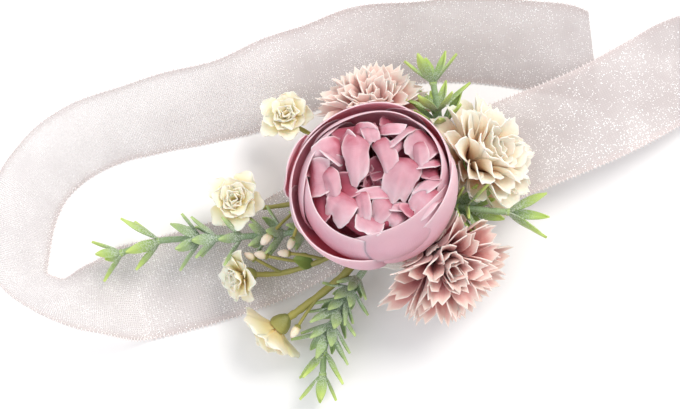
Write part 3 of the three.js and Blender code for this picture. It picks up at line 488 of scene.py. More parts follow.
class Stock:
    """Points, faces and paint of one piece. Paint holds how far along a petal a point is, how near
    its cut edge, which side it is on and the petal's luck, which on the ribbon holds its painted shade;
    lay holds its place on the cloth in mm."""

    def __init__(self):
        self.points, self.faces, self.paint, self.lay = [], [], [], []
        self.count = 0

    def add(self, points, faces, paint, lay):
        """Takes in the points and faces of one closed form."""
        points = np.asarray(points, float).reshape(-1, 3)
        self.points.append(points)
        self.paint.append(np.broadcast_to(paint, (len(points), 4)))
        self.lay.append(np.broadcast_to(lay, (len(points), 3)))
        self.faces += [[self.count + i for i in face] for face in faces]
        self.count += len(points)

    def shell(self, grid, sheet, luck, width, length, edge=None):
        """A closed shell round a grid of points; the first axis runs along and the second across."""
        rows, columns = grid.shape[:2]
        normal = unit(np.cross(np.gradient(grid, axis=0), np.gradient(grid, axis=1)))
        s, v = sheet_places(rows, columns)
        edge = np.maximum(np.abs(v) ** 12, s**20) if edge is None else edge

        def at(i, j, side):
            return side * rows * columns + i * columns + j

        faces = []
        for i in range(rows - 1):
            for j in range(columns - 1):
                quad = [(i, j), (i + 1, j), (i + 1, j + 1), (i, j + 1)]
                faces.append([at(a, b, 0) for a, b in quad])
                faces.append([at(a, b, 1) for a, b in reversed(quad)])
        border = [(i, 0) for i in range(rows)] + [(rows - 1, j) for j in range(1, columns)]
        border += [(i, columns - 1) for i in range(rows - 2, -1, -1)]
        border += [(0, j) for j in range(columns - 2, 0, -1)]
        for (a, b), (c, d) in zip(border, border[1:] + border[:1]):
            faces.append([at(c, d, 0), at(a, b, 0), at(a, b, 1), at(c, d, 1)])
        points, paint, lay = [], [], []
        patch = np.full_like(s, PATCH_STEP * np.mean(luck))
        for side in (0, 1):
            points.append((grid + normal * sheet * (0.5 - side)).reshape(-1, 3))
            paint.append(np.stack([s, edge, np.full_like(s, side), s * 0 + luck], -1).reshape(-1, 4))
            lay.append(np.stack([v * width / 2, s * length, patch], -1).reshape(-1, 3))
        self.add(np.vstack(points), faces, np.vstack(paint), np.vstack(lay))

    def tube(self, path, radii, sides, luck, along=None):
        """A closed round bar along a path, with a flat at each end."""
        path, radii = np.asarray(path, float), np.asarray(radii, float)
        rows = len(path)
        way = unit(np.gradient(path, axis=0))
        side = unit(np.cross(way, OFF_PATHS))
        rise = np.cross(side, way)
        turn = np.linspace(0, FULL_TURN, sides, endpoint=False)
        ring = side[:, None] * np.cos(turn)[None, :, None] + rise[:, None] * np.sin(turn)[None, :, None]
        points = path[:, None] + ring * radii[:, None, None]
        s = np.linspace(0, 1, rows) if along is None else along
        plain = np.zeros(rows * sides)
        paint = np.column_stack([np.repeat(s, sides), plain, plain, plain + luck])
        run = np.repeat(distance_along(path), sides)
        lay = np.column_stack([np.tile(turn * radii.max(), rows), run, plain + luck])
        self.add(points, ring_faces(rows, sides), paint, lay)

    def turned(self, profile, matrix, sides, flutes=0, depth=0.0, luck=0.5):
        """A turned piece from [radius, z] points whose first and last lie near the axis."""
        profile = np.asarray(profile, float)
        rows = len(profile)
        turn = np.linspace(0, FULL_TURN, sides, endpoint=False)
        swell = 1 + depth * np.cos(flutes * turn)
        x = profile[:, :1] * np.cos(turn) * swell
        y = profile[:, :1] * np.sin(turn) * swell
        points = np.stack([x, y, np.repeat(profile[:, 1:], sides, axis=1)], -1).reshape(-1, 3)
        s = np.repeat(np.linspace(0, 1, rows), sides)
        paint = np.stack([s, np.zeros_like(s), np.zeros_like(s), np.full_like(s, luck)], -1)
        self.add(moved(points, matrix), ring_faces(rows, sides), paint, points[:, [0, 2, 1]])

    def piece(self, name, material, slot, *nodes):
        """The mesh object of what was gathered, in place on its body, standing for CAD nodes."""
        mesh = bpy.data.meshes.new(name)
        mesh.from_pydata((np.vstack(self.points) * MM).tolist(), [], self.faces)
        layers = [("paint", "FLOAT_COLOR", "color", self.paint), ("lay", "FLOAT_VECTOR", "vector", self.lay)]
        for key, kind, part, rows in layers:
            layer = mesh.attributes.new(key, kind, "POINT")
            layer.data.foreach_set(part, np.vstack(rows).astype(np.float32).ravel())
        mesh.materials.append(material)
        mesh.shade_smooth()
        mesh.set_sharp_from_angle(angle=CREASE)
        made = bpy.data.objects.new(name, mesh)
        bpy.context.scene.collection.objects.link(made)
        if nodes:
            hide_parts(*nodes)
        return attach(made, "corsage")


def moved(points, matrix):
    """Points carried by a 4 x 4 matrix."""
    matrix = np.asarray(matrix, float)
    return points @ matrix[:3, :3].T + matrix[:3, 3]


def head_matrix(at, heading, lean, foot):
    """A head's frame on the front felt, leaning off the vertical towards a heading in degrees."""
    lean, heading = math.radians(lean), math.radians(heading)
    seat = Matrix.Translation((*at, FELT_TOP + SEAT_GAP + foot * math.sin(lean)))
    return np.array(seat @ Matrix.Rotation(lean, 4, Vector((-math.sin(heading), math.cos(heading), 0))))


def aimed(at, axis):
    """A frame at a point with its Z along an axis."""
    turn = Vector((0, 0, 1)).rotation_difference(Vector(axis)).to_matrix().to_4x4()
    return np.array(Matrix.Translation(tuple(at)) @ turn)


def around(r, side, turn, z):
    """Points at radius r and a sideways step from the ray at an angle."""
    return np.stack([r * np.cos(turn) - side * np.sin(turn), r * np.sin(turn) + side * np.cos(turn), z], -1)


# Camera, light and floor

scene = bpy.context.scene
scene.view_settings.view_transform = "Standard"
# Half the floor's width, in metres
FLOOR_REACH = 3.0
SKY_TINT = "#f4f5f7"
SKY_STRENGTH = 0.74
# Lamps: place and size in metres, watts and tint
LAMPS = {
    "key": ((0.55, 0.58, 1.06), 0.86, 12.4, "#fffaf5"),
    "fill": ((-0.5, -0.35, 0.7), 0.7, 2.3, "#f8f8ff"),
}


def place_camera():
    """The camera, level from side to side."""
    back = Vector((0, -math.cos(CAMERA_RISE), math.sin(CAMERA_RISE)))
    lens = bpy.data.cameras.new("camera")
    lens.lens = CAMERA_LENS
    lens.sensor_width = CAMERA_SENSOR
    lens.clip_start, lens.clip_end = 0.01, 20
    eye = bpy.data.objects.new("camera", lens)
    eye.location = (CAMERA_AIM + back * CAMERA_REACH) * MM
    eye.rotation_euler = (math.pi / 2 - CAMERA_RISE, 0, 0)
    scene.collection.objects.link(eye)
    scene.camera = eye


def soft_light(name, place, size, watts, tint):
    """A round lamp that faces the corsage, placed and sized in metres."""
    lamp = bpy.data.lights.new(name, "AREA")
    lamp.shape = "DISK"
    lamp.size = size
    lamp.energy = watts
    lamp.color = linear(tint)[:3]
    made = bpy.data.objects.new(name, lamp)
    made.location = place
    made.rotation_euler = (-Vector(place)).to_track_quat("-Z", "Y").to_euler()
    scene.collection.objects.link(made)


def lay_floor():
    """Smooth white painted board with a barely uneven coat."""
    material, tree, shader = new_material("white_painted_board", IOR=1.45, Roughness=0.8)
    spot = add_node(tree, "TexCoord", out="Object")
    coat = add_node(tree, "TexNoise", {}, {"Vector": spot, "Scale": 12.0})
    tone = add_node(tree, "ValToRGB", {}, {"Fac": coat}, [(0.3, "#f6f5f5"), (0.7, "#fafafa")])
    set_inputs(tree, shader, {"Base Color": tone})
    mesh = bpy.data.meshes.new("floor")
    corners = [(-1, -1), (1, -1), (1, 1), (-1, 1)]
    mesh.from_pydata([(x * FLOOR_REACH, y * FLOOR_REACH, TABLE * MM) for x, y in corners], [], [[0, 1, 2, 3]])
    mesh.materials.append(material)
    floor = bpy.data.objects.new("floor", mesh)
    scene.collection.objects.link(floor)


def light_room():
    """An even pale room, a large key lamp from the back right and a weak fill from the front left."""
    world = bpy.data.worlds.new("studio")
    scene.world = world
    world.use_nodes = True
    sky = world.node_tree.nodes["Background"]
    set_inputs(world.node_tree, sky, {"Color": linear(SKY_TINT), "Strength": SKY_STRENGTH})
    for name, lamp in LAMPS.items():
        soft_light(name, *lamp)


place_camera()
lay_floor()
light_room()


# Ribbon


def standing(x, y, bank):
    """A station where the ribbon lies on the table or, banked, stands on it on one edge."""
    return (x, y, RIBBON_REST + RIBBON_WIDTH / 2 * math.sin(math.radians(abs(bank))), bank)


# From the end of the right tail to the end of the left: x, y and bank in degrees where the table carries
# the ribbon, and x, y, height of the middle line and bank where the flowers hold it
RIGHT_TAIL = [
    (92, -42, 0), (91, -26, 0), (91.5, -10, 0), (93, 4, -20), (94, 17, -52), (92.5, 28, -60), (86, 36, -60),
    (77, 35.2, -40),
]
HELD_RUN = [
    (66, 28.6, 2.4, -12), (52, 21, 2.6, 0), (36, 14.4, 1, 0), (28, 11.2, 0.9, 0), (19, 7.6, RIBBON_LEVEL, 0),
    (0, 0, RIBBON_LEVEL, 0), (-18.5, -8, RIBBON_LEVEL, 0), (-32, -13.8, -5.2, 0),
]
LEFT_TAIL = [
    (-47.5, -18.9, 0), (-64.3, -23.3, 0), (-75, -25.4, 40), (-84.6, -25.6, 63), (-92.2, -21.4, 64),
    (-93.4, -11, 58), (-91, 0, 57), (-86.4, 6.4, 60), (-79.4, 11.6, 63), (-71, 16.2, 60), (-61, 19.5, 56),
    (-49.3, 22.8, 51), (-36.4, 26.4, 48), (-22.2, 31.8, 50), (-8.3, 37.1, 49), (6.2, 39.6, 48),
    (21.1, 39.8, 47), (37.2, 37.8, 46), (50.5, 35.2, 46),
]
RIBBON_STATIONS = [standing(*row) for row in RIGHT_TAIL] + HELD_RUN + [standing(*row) for row in LEFT_TAIL]
# Half the length and half the width of the stretch that the felts grip
FELT_GRIP = (21, 10)
# Painted shade along the ribbon, by share of its length: how much denser and greyer the cloth is drawn,
# most on the right tail and the top run, least on the left loop
PAINTED_SHADE_PLACES = (0, 0.2, 0.34, 0.5, 0.7, 0.8, 0.88, 1.0)
PAINTED_SHADE_COVER = (1.2, 1.2, 0.7, 0.15, 0.15, 0.35, 0.9, 0.95)
# A picot stitch: steps out from the edge of the cloth, and its radius at each
PICOT_STEPS = np.array([-0.45, -0.2, 0.12, 0.38, 0.5])
PICOT_RADII = (0.08, 0.15, 0.19, 0.14, 0.06)
RIBBON_ROWS = 640
RIBBON_COLUMNS = 13
# Rows over which height and bank are smoothed
RIBBON_SMOOTHING = 23
# Slack ripples of the free edge: size, run per radian and phase
RIPPLES = ((0.9, 9.5, 0), (0.5, 4.1, 1))


def ribbon_value(t, column):
    """Height or bank along the ribbon, eased from station to station and then smoothed."""
    values = np.array([station[column] for station in RIBBON_STATIONS], float)
    last = len(values) - 1
    place = np.clip(t * last, 0, last - 1e-9)
    i = place.astype(int)
    raw = values[i] + (values[i + 1] - values[i]) * ease(place - i, 0, 1)
    window = np.hanning(RIBBON_SMOOTHING)
    padded = np.pad(raw, RIBBON_SMOOTHING // 2, mode="edge")
    return np.convolve(padded, window / window.sum(), mode="valid")


def ribbon_grid():
    """The ribbon's surface and its places on the flat cloth, with a slack ripple on the free edge."""
    t = np.linspace(0, 1, RIBBON_ROWS)
    plan = [station[:2] + (0,) for station in RIBBON_STATIONS]
    middle, way = route(plan, t), heading_along(plan, t)
    bank = np.radians(ribbon_value(t, 3))
    height = np.maximum(ribbon_value(t, 2), RIBBON_REST + RIBBON_WIDTH / 2 * np.abs(np.sin(bank)))
    gripped = (np.abs(middle[:, 0]) < FELT_GRIP[0]) & (np.abs(middle[:, 1]) < FELT_GRIP[1])
    height[gripped] = RIBBON_LEVEL
    run = distance_along(middle)
    v = np.linspace(-1, 1, RIBBON_COLUMNS)
    reach = v * RIBBON_WIDTH / 2
    last = len(RIBBON_STATIONS) - 1
    right_cut = RIGHT_END_SLANT * np.maximum(0, 1 - t * last)
    left_cut = LEFT_END_SLANT * np.maximum(0, 1 + (t - 1) * last)
    slant = v[None, :] * (right_cut - left_cut)[:, None]
    left = np.stack([-way[:, 1], way[:, 0], np.zeros(RIBBON_ROWS)], -1)
    grid = middle[:, None] + way[:, None] * slant[..., None]
    grid = grid + left[:, None] * (reach[None, :] * np.cos(bank)[:, None])[..., None]
    grid[..., 2] = height[:, None] + reach[None, :] * np.sin(bank)[:, None]
    free = np.clip(v[None, :] * np.sign(bank)[:, None], 0, 1) ** 2 * np.abs(np.sin(bank))[:, None]
    ripple = sum(size * np.sin(run / pitch + phase) for size, pitch, phase in RIPPLES)
    grid += left[:, None] * (free * ripple[:, None])[..., None]
    return grid, run, reach


def add_ribbon():
    """The ribbon and the picot stitches along its two edges."""
    grid, run, reach = ribbon_grid()
    stock, threads = Stock(), Stock()
    edge = np.broadcast_to(np.abs(reach / reach.max())[None, :] ** 14, grid.shape[:2])
    # Painted shade: some stretches of the ribbon are drawn denser and so greyer, others paler
    cover = np.interp(run / run[-1], PAINTED_SHADE_PLACES, PAINTED_SHADE_COVER)
    stock.shell(grid, RIBBON_SHEET, cover[:, None], RIBBON_WIDTH, run[-1], edge)
    ribbon = stock.piece("ribbon_organza", ORGANZA, "organza", "ribbon")
    for rim, inner in ((grid[:, 0], grid[:, 1]), (grid[:, -1], grid[:, -2])):
        outward, length = unit(rim - inner), distance_along(rim)
        for place in np.arange(PICOT_PITCH / 2, length[-1], PICOT_PITCH):
            at, out = [np.array([np.interp(place, length, row) for row in rows.T]) for rows in (rim, outward)]
            threads.tube(at + out * PICOT_STEPS[:, None], PICOT_RADII, 6, draw.random())
    picot = threads.piece("ribbon_picot_edge", PICOT, "organza")


# Felts and pin


def add_felt(name, node, radius, low, high):
    """A pressed felt round with softened, slightly uneven edges."""
    stock = Stock()
    inner, rim = radius * 0.6, radius - FELT_SOFT_EDGE
    profile = [(CORE, low), (inner, low), (rim, low), (radius, low + FELT_SOFT_EDGE)]
    profile += [(radius + FELT_BULGE, (low + high) / 2), (radius, high - FELT_SOFT_EDGE)]
    profile += [(rim, high), (inner, high), (CORE, high)]
    stock.turned(profile, np.eye(4), 96)
    points = stock.points[0]
    turn = np.arctan2(points[:, 1], points[:, 0])
    uneven = 1 + 0.006 * np.sin(9 * turn + 1) + 0.004 * np.sin(23 * turn)
    points[:, :2] *= np.where(np.hypot(points[:, 0], points[:, 1]) > radius * 0.7, uneven, 1)[:, None]
    felt = stock.piece(name, FELT, "felt", node)


PIN_METALS = {"pin_bar": NICKEL, "pin_rivet": NICKEL, "pin_safety_rotor": NICKEL, "pin_needle": STEEL}


def dress_pin():
    """Gives the pin's own CAD nodes their metals."""
    for name, metal in PIN_METALS.items():
        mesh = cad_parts[name].data
        mesh.materials.clear()
        mesh.materials.append(metal)


add_felt("backing_felt_pressed", "backing_felt", 19, 0, 1.2)
add_felt("front_felt_pressed", "front_felt", 18.5, 2.15, FELT_TOP)
dress_pin()
add_ribbon()


# Peony

PEONY = head_matrix((-5.4, -4.4), 90, 6, 2.6)
# The front of the cup, where the guard petals and the lining lean in
GUARD_FRONT = math.radians(-70)
LINING_FRONT = math.radians(-75)


def cup_wall(scale, base, lift, rim):
    """[radius, z] of a cup of guard petals, from hub to rim."""
    wide = PEONY_RADIUS * scale
    return [
        (base, 4.3 + lift), (0.58 * wide, 5.6 + lift), (0.87 * wide, 0.42 * PEONY_HEIGHT + lift * 0.8),
        (wide, 0.66 * PEONY_HEIGHT + lift * 0.6), (0.985 * wide, 0.84 * PEONY_HEIGHT + lift * 0.5),
        (rim * wide, PEONY_HEIGHT + lift * 0.4),
    ]


def guard_petal(wall, heading, half, leaf, reach, slant, skew, flare):
    """A broad petal cupped on the wall, its one edge outside its neighbour and the other inside."""
    s, v = sheet_places(*GUARD_GRID)
    lip = 1 - 0.5 * np.abs(v) ** 3.4 * np.minimum(1, 2 * s) + slant * v * s
    at = spline(wall, s * reach * lip)
    turn, spread = math.radians(heading), math.radians(half)
    angle = turn + v * (0.6 + (spread - 0.6) * ease(s, 0.2, 0.6)) + math.radians(skew) * ease(s, 0.3, 1)
    front = np.clip(np.cos(angle - GUARD_FRONT), 0, 1) ** 2
    r = at[..., 0] + leaf * v * np.minimum(1, 2 * s)
    # The rim leans in at the front, waves a little, rolls at the lip and then flares
    r = r * (1 - 0.24 * front * ease(s, 0.5, 1))
    r = r + 0.5 * s**2 * np.sin(2.6 * v + 1.7 * turn) - 0.4 * ease(s, 0.9, 1) * (0.4 + 0.6 * v**2)
    r = r + flare * s**2 * (1 - 0.5 * v**2)
    z = at[..., 1] + 1.2 * s**3 * np.sin(3.4 * v + 2.3 * turn)
    return around(r, 0, angle, z)


def hub_disc(stock, foot):
    """The disc that a ring of petals is cut with, from its peg out to the petals' feet."""
    radius, level = foot
    rim = radius + 0.5
    low, high = level - PETAL_SHEET / 2, level + PETAL_SHEET / 2
    stock.turned([(CORE, low), (rim, low), (rim, high), (CORE, high)], PEONY, 24)


# Smooth guard petals: heading, half width in degrees, how far up the wall, slope of the rim, skew in
# degrees and how far the lip flares out
OUTER_GUARDS = [
    (312, 64, 0.89, 0.28, 12, 0.5), (24, 54, 0.98, 0.08, 10, 0.5), (96, 58, 0.98, 0.06, 4, 1.3),
    (168, 54, 0.91, -0.07, -4, 1.3), (240, 56, 0.82, -0.08, -12, 2.6),
]
INNER_GUARDS = [
    (241, 64, 0.97, -0.12, -14, -0.2), (298, 70, 1.0, 0.04, 2, -0.4), (20, 55, 1.02, -0.03, 4, -0.3),
    (92, 56, 0.99, 0.05, 0, 0.2), (164, 55, 0.97, -0.06, -4, -0.3),
]


# One narrow petal stands loose outside the others: heading, half width, step outside its neighbour,
# how far up the wall, slope of the rim, skew and flare
LOOSE_GUARD = (161, 24, 0.0, 0.94, 0.0, 0, 0.6)


def add_guards(name, wall, rows, leaf):
    """A ring of guard petals on its disc."""
    stock = Stock()
    for heading, half, reach, slant, skew, flare in rows:
        grid = guard_petal(wall, heading, half, leaf, reach, slant, skew, flare)
        stock.shell(moved(grid, PEONY), PETAL_SHEET, draw.random(), 30, 32)
    hub_disc(stock, wall[0])
    if name == "peony_guard_outer":
        loose = guard_petal(cup_wall(1.03, 3.8, 0.2, 1.0), *LOOSE_GUARD)
        stock.shell(moved(loose, PEONY), PETAL_SHEET, 0.8, 14, 30)
    stock.piece(name + "_cloth", GUARD_CLOTH, "pale_rose_silk", name)


# Ruffled petals: x, y and crest of the shoulder, heading and length of the lip, its width, how far its
# tip droops, how far its sides fall (or rise, below zero) and how it is banked in degrees
OUTER_RUFFLES = [
    (-4.6, 12.6, 23.0, -20, 5.4, 4.4, 1.2, 1.3, 26), (-1.4, 13.4, 23.8, -84, 4.6, 4.2, 1.6, 1.2, -8),
    (1.2, 12.8, 23.2, 6, 6.4, 3.8, 1.2, 1.1, -34), (8.8, 13.0, 24.6, -138, 8.4, 3.4, 1.6, 0.8, 46),
    (13.0, 10.4, 23.8, -132, 7.0, 8.0, 1.4, 1.6, -10), (-9.8, 9.8, 21.4, -50, 5.4, 9.0, 0.6, -1.2, 0),
    (-8.2, 8.2, 24.0, 206, 7.4, 6.4, 3.2, 1.8, -16), (-15.0, 0.4, 22.6, 0, 4.6, 9.4, 0.4, -0.9, 4),
    (-6.8, -3.8, 23.8, 240, 6.8, 8.0, 3.4, 2.1, 4), (15.0, 4.6, 23.6, 196, 6.6, 3.6, 0.8, 0.9, 44),
    (15.0, 1.4, 23.0, 214, 7.8, 4.2, 1.4, 1.1, 36), (13.8, -2.0, 23.8, 226, 8.4, 6.8, 3.4, 2.2, 0),
    (-1.0, -9.0, 22.0, 250, 4.0, 7.0, 0.8, 0.8, 0), (5.6, -7.4, 22.0, 244, 4.2, 4.6, 1.8, 1.2, -14),
]
MIDDLE_RUFFLES = [
    (-4.0, 10.6, 25.8, -98, 11.6, 6.4, 4.8, 2.4, -10), (0.8, 9.8, 25.2, -74, 10.8, 4.6, 4.6, 1.8, 26),
    (7.0, 5.0, 25.4, -97, 10.6, 8.4, 4.6, 3.4, 4), (9.8, 9.2, 24.6, -86, 6.8, 4.2, 2.6, 1.6, 24),
    (6.2, 9.6, 24.0, -118, 5.8, 3.4, 1.8, 1.1, -36), (-7.2, 3.6, 22.4, 166, 7.4, 4.4, 1.4, 1.2, -24),
    (-12.2, 2.2, 24.2, -62, 8.0, 4.8, 2.8, 1.4, 28), (-3.8, -3.2, 23.6, -82, 7.4, 4.2, 3.4, 1.3, 30),
    (3.4, -4.6, 23.0, 226, 6.8, 5.4, 2.6, 1.6, -18), (8.4, -6.4, 22.0, 176, 5.6, 3.6, 1.4, 0.9, 38),
    (3.6, -2.6, 22.8, 190, 8.2, 3.6, 0.8, 0.9, 22),
]
INNER_RUFFLES = [
    (-8.6, -1.8, 21.0, 18, 4.4, 6.6, 0.4, -0.9, 0), (6.4, -0.6, 18.6, 180, 4.4, 6.4, 0.6, -0.6, 0),
    (2.4, 4.4, 20.4, 220, 4.4, 6.0, 0.6, -0.6, 0), (-4.4, 4.6, 20.2, -50, 4.0, 6.0, 0.6, -0.6, 0),
    (10.4, 2.4, 20.6, 200, 4.6, 7.4, 0.8, 0.6, 0), (-10.6, -6.0, 18.0, 40, 5.0, 8.0, 0.8, 0.6, 0),
    (1.0, -6.4, 18.4, 90, 4.4, 8.0, 0.8, 0.5, 0), (9.6, -5.2, 18.6, 150, 4.6, 7.6, 0.8, 0.6, 0),
    (5.0, 9.8, 20.0, 260, 4.6, 8.0, 0.8, 0.6, 0), (-6.8, 8.6, 19.4, 300, 4.6, 8.0, 0.8, 0.6, 0),
]
BUD_RUFFLES = [
    (2.4, 0.6, 19.0, 190, 3.0, 4.6, 0.4, -0.8, 0), (-2.6, 1.4, 18.6, -30, 3.0, 4.6, 0.4, -0.8, 0),
    (-0.4, -2.4, 18.8, 90, 3.0, 4.6, 0.4, -0.8, 0),
]


# How a ruffled petal turns over: shares of its lip's length ahead of the shoulder and below the crest
SHOULDER = ((-0.1, 0.55), (0.0, 0.22), (0.2, 0.05), (0.52, 0.0))
# The lining's radius and crest, and how much further in and higher it stands at the front
LINING_RADIUS = 15.2
LINING_CREST = 20.4
LINING_INSET = 3.8
LINING_LIFT = 0.4


def ruffled_petal(x, y, top, heading, length, width, droop, dome, bank, foot):
    """A petal that climbs from the hub to its shoulder, then rolls its creased, rounded lip over."""
    s, v = sheet_places(*RUFFLE_GRID)
    a, b, c = draw.random(3) * PHASE_TURN
    turn, heading, bank = math.atan2(y, x), math.radians(heading), math.radians(bank)
    ahead = np.array([math.cos(heading), math.sin(heading), 0])
    level = math.cos(bank)
    across = np.array([-math.sin(heading) * level, math.cos(heading) * level, math.sin(bank)])
    hub = np.array([foot[0] * math.cos(turn), foot[0] * math.sin(turn), foot[1]])
    rib = [hub, (0.75 * x, 0.75 * y, foot[1] + 2.5)]
    for step, fall in SHOULDER:
        rib.append(np.array([x, y, top]) + ahead * length * step - (0, 0, fall * length))
    rib += [np.array([x, y, top - 0.4 * droop]) + ahead * 0.84 * length]
    rib += [np.array([x, y, top - droop]) + ahead * length]
    lip = 1 - 0.17 * np.abs(v) ** 2.6 * ease(s, 0.3, 0.8) - 0.04 * np.cos(4.2 * v + a) * s**4
    lip = lip - 0.07 * np.exp(-(((v - 0.35 * math.sin(b)) / 0.2) ** 2)) * s**6
    at = route(rib, s * lip)
    normal = np.cross(unit(np.gradient(at, axis=0)), across)
    half = width / 2 * (0.35 + 0.65 * ease(s, 0.1, 0.5)) * (1 - 0.12 * ease(s, 0.8, 1))
    side = v * half + 0.1 * length * math.sin(c) * ease(s, 0.5, 1) ** 2
    rise = -dome * v**2 * ease(s, 0.3, 0.65)
    # One long crease where the petal was folded, softer pleats beside it and an edge that flares up
    crease = np.sqrt((v - 0.35 * math.sin(b)) ** 2 + 0.006)
    rise = rise + 0.2 * width * (1 if math.cos(a) > -0.2 else -0.7) * (crease - 0.4) * ease(s, 0.4, 0.75)
    pleats = 0.5 * np.sin(2.6 * v + a) + 0.35 * np.sin(6.0 * v + b) + 0.3 * np.sin(9.5 * v + 5 * s + c)
    rise = rise + 0.09 * width * pleats * s**2.5
    rise = rise + 0.05 * width * (np.abs(v) ** 7 + s**14) * ease(s, 0.5, 0.8)
    return at + across * side[..., None] + normal * rise[..., None]


def lining_petal(heading):
    """An upright petal that lines the cup behind the lobes, set further in at the front."""
    turn = math.radians(heading)
    front = max(0, math.cos(turn - LINING_FRONT))
    far, top = LINING_RADIUS - LINING_INSET * front, LINING_CREST + LINING_LIFT * front
    return (far * math.cos(turn), far * math.sin(turn), top, heading + 170, 3.0, 11.0, 0.4, -0.5, 0)


def add_ruffles(name, rows, foot, material, slot):
    """A ring of ruffled petals on its disc."""
    stock = Stock()
    for row in rows:
        grid = ruffled_petal(*row, foot)
        stock.shell(moved(grid, PEONY), PETAL_SHEET, draw.random(), row[5], 22)
    hub_disc(stock, foot)
    stock.piece(name + "_cloth", material, slot, name)


def bent_rib(s, hub, length, open_foot, open_tip):
    """[radius, z] and unit direction along a rib that leans off the axis, by degrees at foot and tip."""
    foot, tip = math.radians(open_foot), math.radians(open_tip)
    p0 = np.array(hub, float)
    p1 = p0 + np.array([math.sin(foot), math.cos(foot)]) * length / 2
    p2 = p1 + np.array([math.sin(tip), math.cos(tip)]) * length / 2
    w = s[..., None]
    at = p0 * (1 - w) ** 2 + 2 * p1 * w * (1 - w) + p2 * w**2
    return at, unit(2 * (p1 - p0) * (1 - w) + 2 * (p2 - p1) * w)


def off_rib(at, run, side, rise, turn):
    """Points a sideways step and a rise off a rib that stands at an angle round the axis."""
    return around(at[..., 0] - run[..., 1] * rise, side, turn, at[..., 1] + run[..., 0] * rise)


def strap_grid(turn, length, width, hub, open_foot, open_tip, cup, outline, teeth, roll=0.0, fold=0.0):
    """A trough-shaped blade on a bent rib, toothed at the tip."""
    s, v = sheet_places(*STRAP_GRID)
    if teeth is not None:
        s = s * (1 + np.interp(v, np.linspace(-1, 1, len(teeth)), teeth) * s**4)
    at, run = bent_rib(s, hub, length, open_foot, open_tip)
    share = outline[0] * (1 - s) ** 2 + 2 * outline[1] * s * (1 - s) + outline[2] * s**2
    side = v * width / 2 * share
    rise = (cup * v**2 + fold * np.abs(v)) * np.minimum(1, 2 * s)
    bend = roll * np.minimum(1, 1.5 * s)
    side, rise = side * np.cos(bend) - rise * np.sin(bend), side * np.sin(bend) + rise * np.cos(bend)
    return off_rib(at, run, side, rise, turn)


# Share of the width at a blade's foot, belly and tip
SEPAL = (0.7, 1.4, 0.1)
STRAP = (0.38, 1.2, 0.9)
LANCE = (0.35, 1.55, 0.02)
# Where a peg starts in its cup, and the radius of its tip
PEG_FOOT = 3
PEG_TIP = 0.6
# [radius, z] of the moulded cups under the heads
PEONY_CUP = [
    (CORE, 0), (2.4, 0), (2.6, 0.25), (2.6, 0.8), (1.95, 1.5), (1.9, 2.2), (3.3, 2.75), (3.6, 3.1),
    (3.5, 3.5), (CORE, 3.5),
]
MUM_CUP = [
    (CORE, 0), (2.0, 0), (2.2, 0.2), (2.2, 0.7), (1.55, 1.3), (1.5, 2.0), (3.1, 2.7), (3.4, 3.0),
    (3.3, 3.4), (CORE, 3.4),
]


def turn_calyx(stock, head, cup, sides, shoulder, top):
    """A moulded cup with the peg that rings of petals are threaded on."""
    stock.turned(cup, head, sides)
    peg = [(CORE, PEG_FOOT), (PEG_RADIUS, PEG_FOOT), (PEG_RADIUS, shoulder), (PEG_TIP, top), (CORE, top)]
    stock.turned(peg, head, 12)


def add_peony_calyx(sepals, length, width):
    """The peony's calyx, with a ring of sepals."""
    stock = Stock()
    turn_calyx(stock, PEONY, PEONY_CUP, 24, 11.2, 11.6)
    for k in range(sepals):
        grid = strap_grid(FULL_TURN * k / sepals, length, width, (3, 2.3), 84, 76, 0.5, SEPAL, None)
        stock.shell(moved(grid, PEONY), SEPAL_SHEET, draw.random(), width, length)
    stock.piece("peony_calyx_moulded", CALYX_GREEN, "green_plastic", "peony_calyx")


add_peony_calyx(5, 9, 6)
add_guards("peony_guard_outer", cup_wall(0.95, 3.8, 0, 0.93), OUTER_GUARDS, 0.7)
add_guards("peony_guard_inner", cup_wall(0.885, 3.4, 1.5, 0.92), INNER_GUARDS, 0.55)
add_ruffles("peony_ruffle_outer", OUTER_RUFFLES, (3.0, 7.2), RUFFLE_CLOTH, "rose_silk")
add_ruffles("peony_ruffle_middle", MIDDLE_RUFFLES, (2.6, 8.6), RUFFLE_CLOTH, "rose_silk")
INNER_RUFFLES += [lining_petal(heading) for heading in range(20, 380, 45)]
add_ruffles("peony_ruffle_inner", INNER_RUFFLES, (2.2, 10.0), HEART_CLOTH, "deep_rose_silk")
add_ruffles("peony_bud", BUD_RUFFLES, (0.9, 12.4), HEART_CLOTH, "deep_rose_silk")


# Room that other pieces are pressed out of


# [radius, z] of the room round the peony's cup
PEONY_BOWL = [(2.8, -2), (3.4, 1.8), (12.0, 3.2)]
PEONY_BOWL += [(r + 1.5, z - 0.6) for r, z in cup_wall(0.95, 3.8, 0, 0.92)[1:]]


def pushed(x, wall, layer):
    """Distances kept outside a wall: those that reach too near are crowded into a thin layer on it."""
    return np.where(x < wall + layer, wall + layer * np.exp((x - wall - layer) / layer), x)


def clear_of_peony(points, layer=1.8):
    """Points pressed out of the peony's bowl into a thin layer round it."""
    local = moved(points, np.linalg.inv(PEONY))
    radii, heights = np.array(PEONY_BOWL).T
    bowl = np.interp(local[..., 2], heights, radii)
    r = np.hypot(local[..., 0], local[..., 1])
    pressed = np.where(local[..., 2] > PEONY_HEIGHT + 2, r, pushed(r, bowl, layer))
    local[..., :2] *= (pressed / np.maximum(r, 1e-6))[..., None]
    return moved(local, PEONY)


def above(points, level, layer=1.5):
    """Points pressed up off a level surface into a thin layer over it."""
    points[..., 2] = pushed(points[..., 2], level, layer)
    return points


def beside(points, middle, outward, layer=3.0):
    """Points pressed back from an upright plane between two heads."""
    normal = np.array([*outward, 0.0]) / math.hypot(*outward)
    past = (points - np.array([*middle, 0.0])) @ normal
    return points + (-pushed(-past, 0, layer) - past)[..., None] * normal


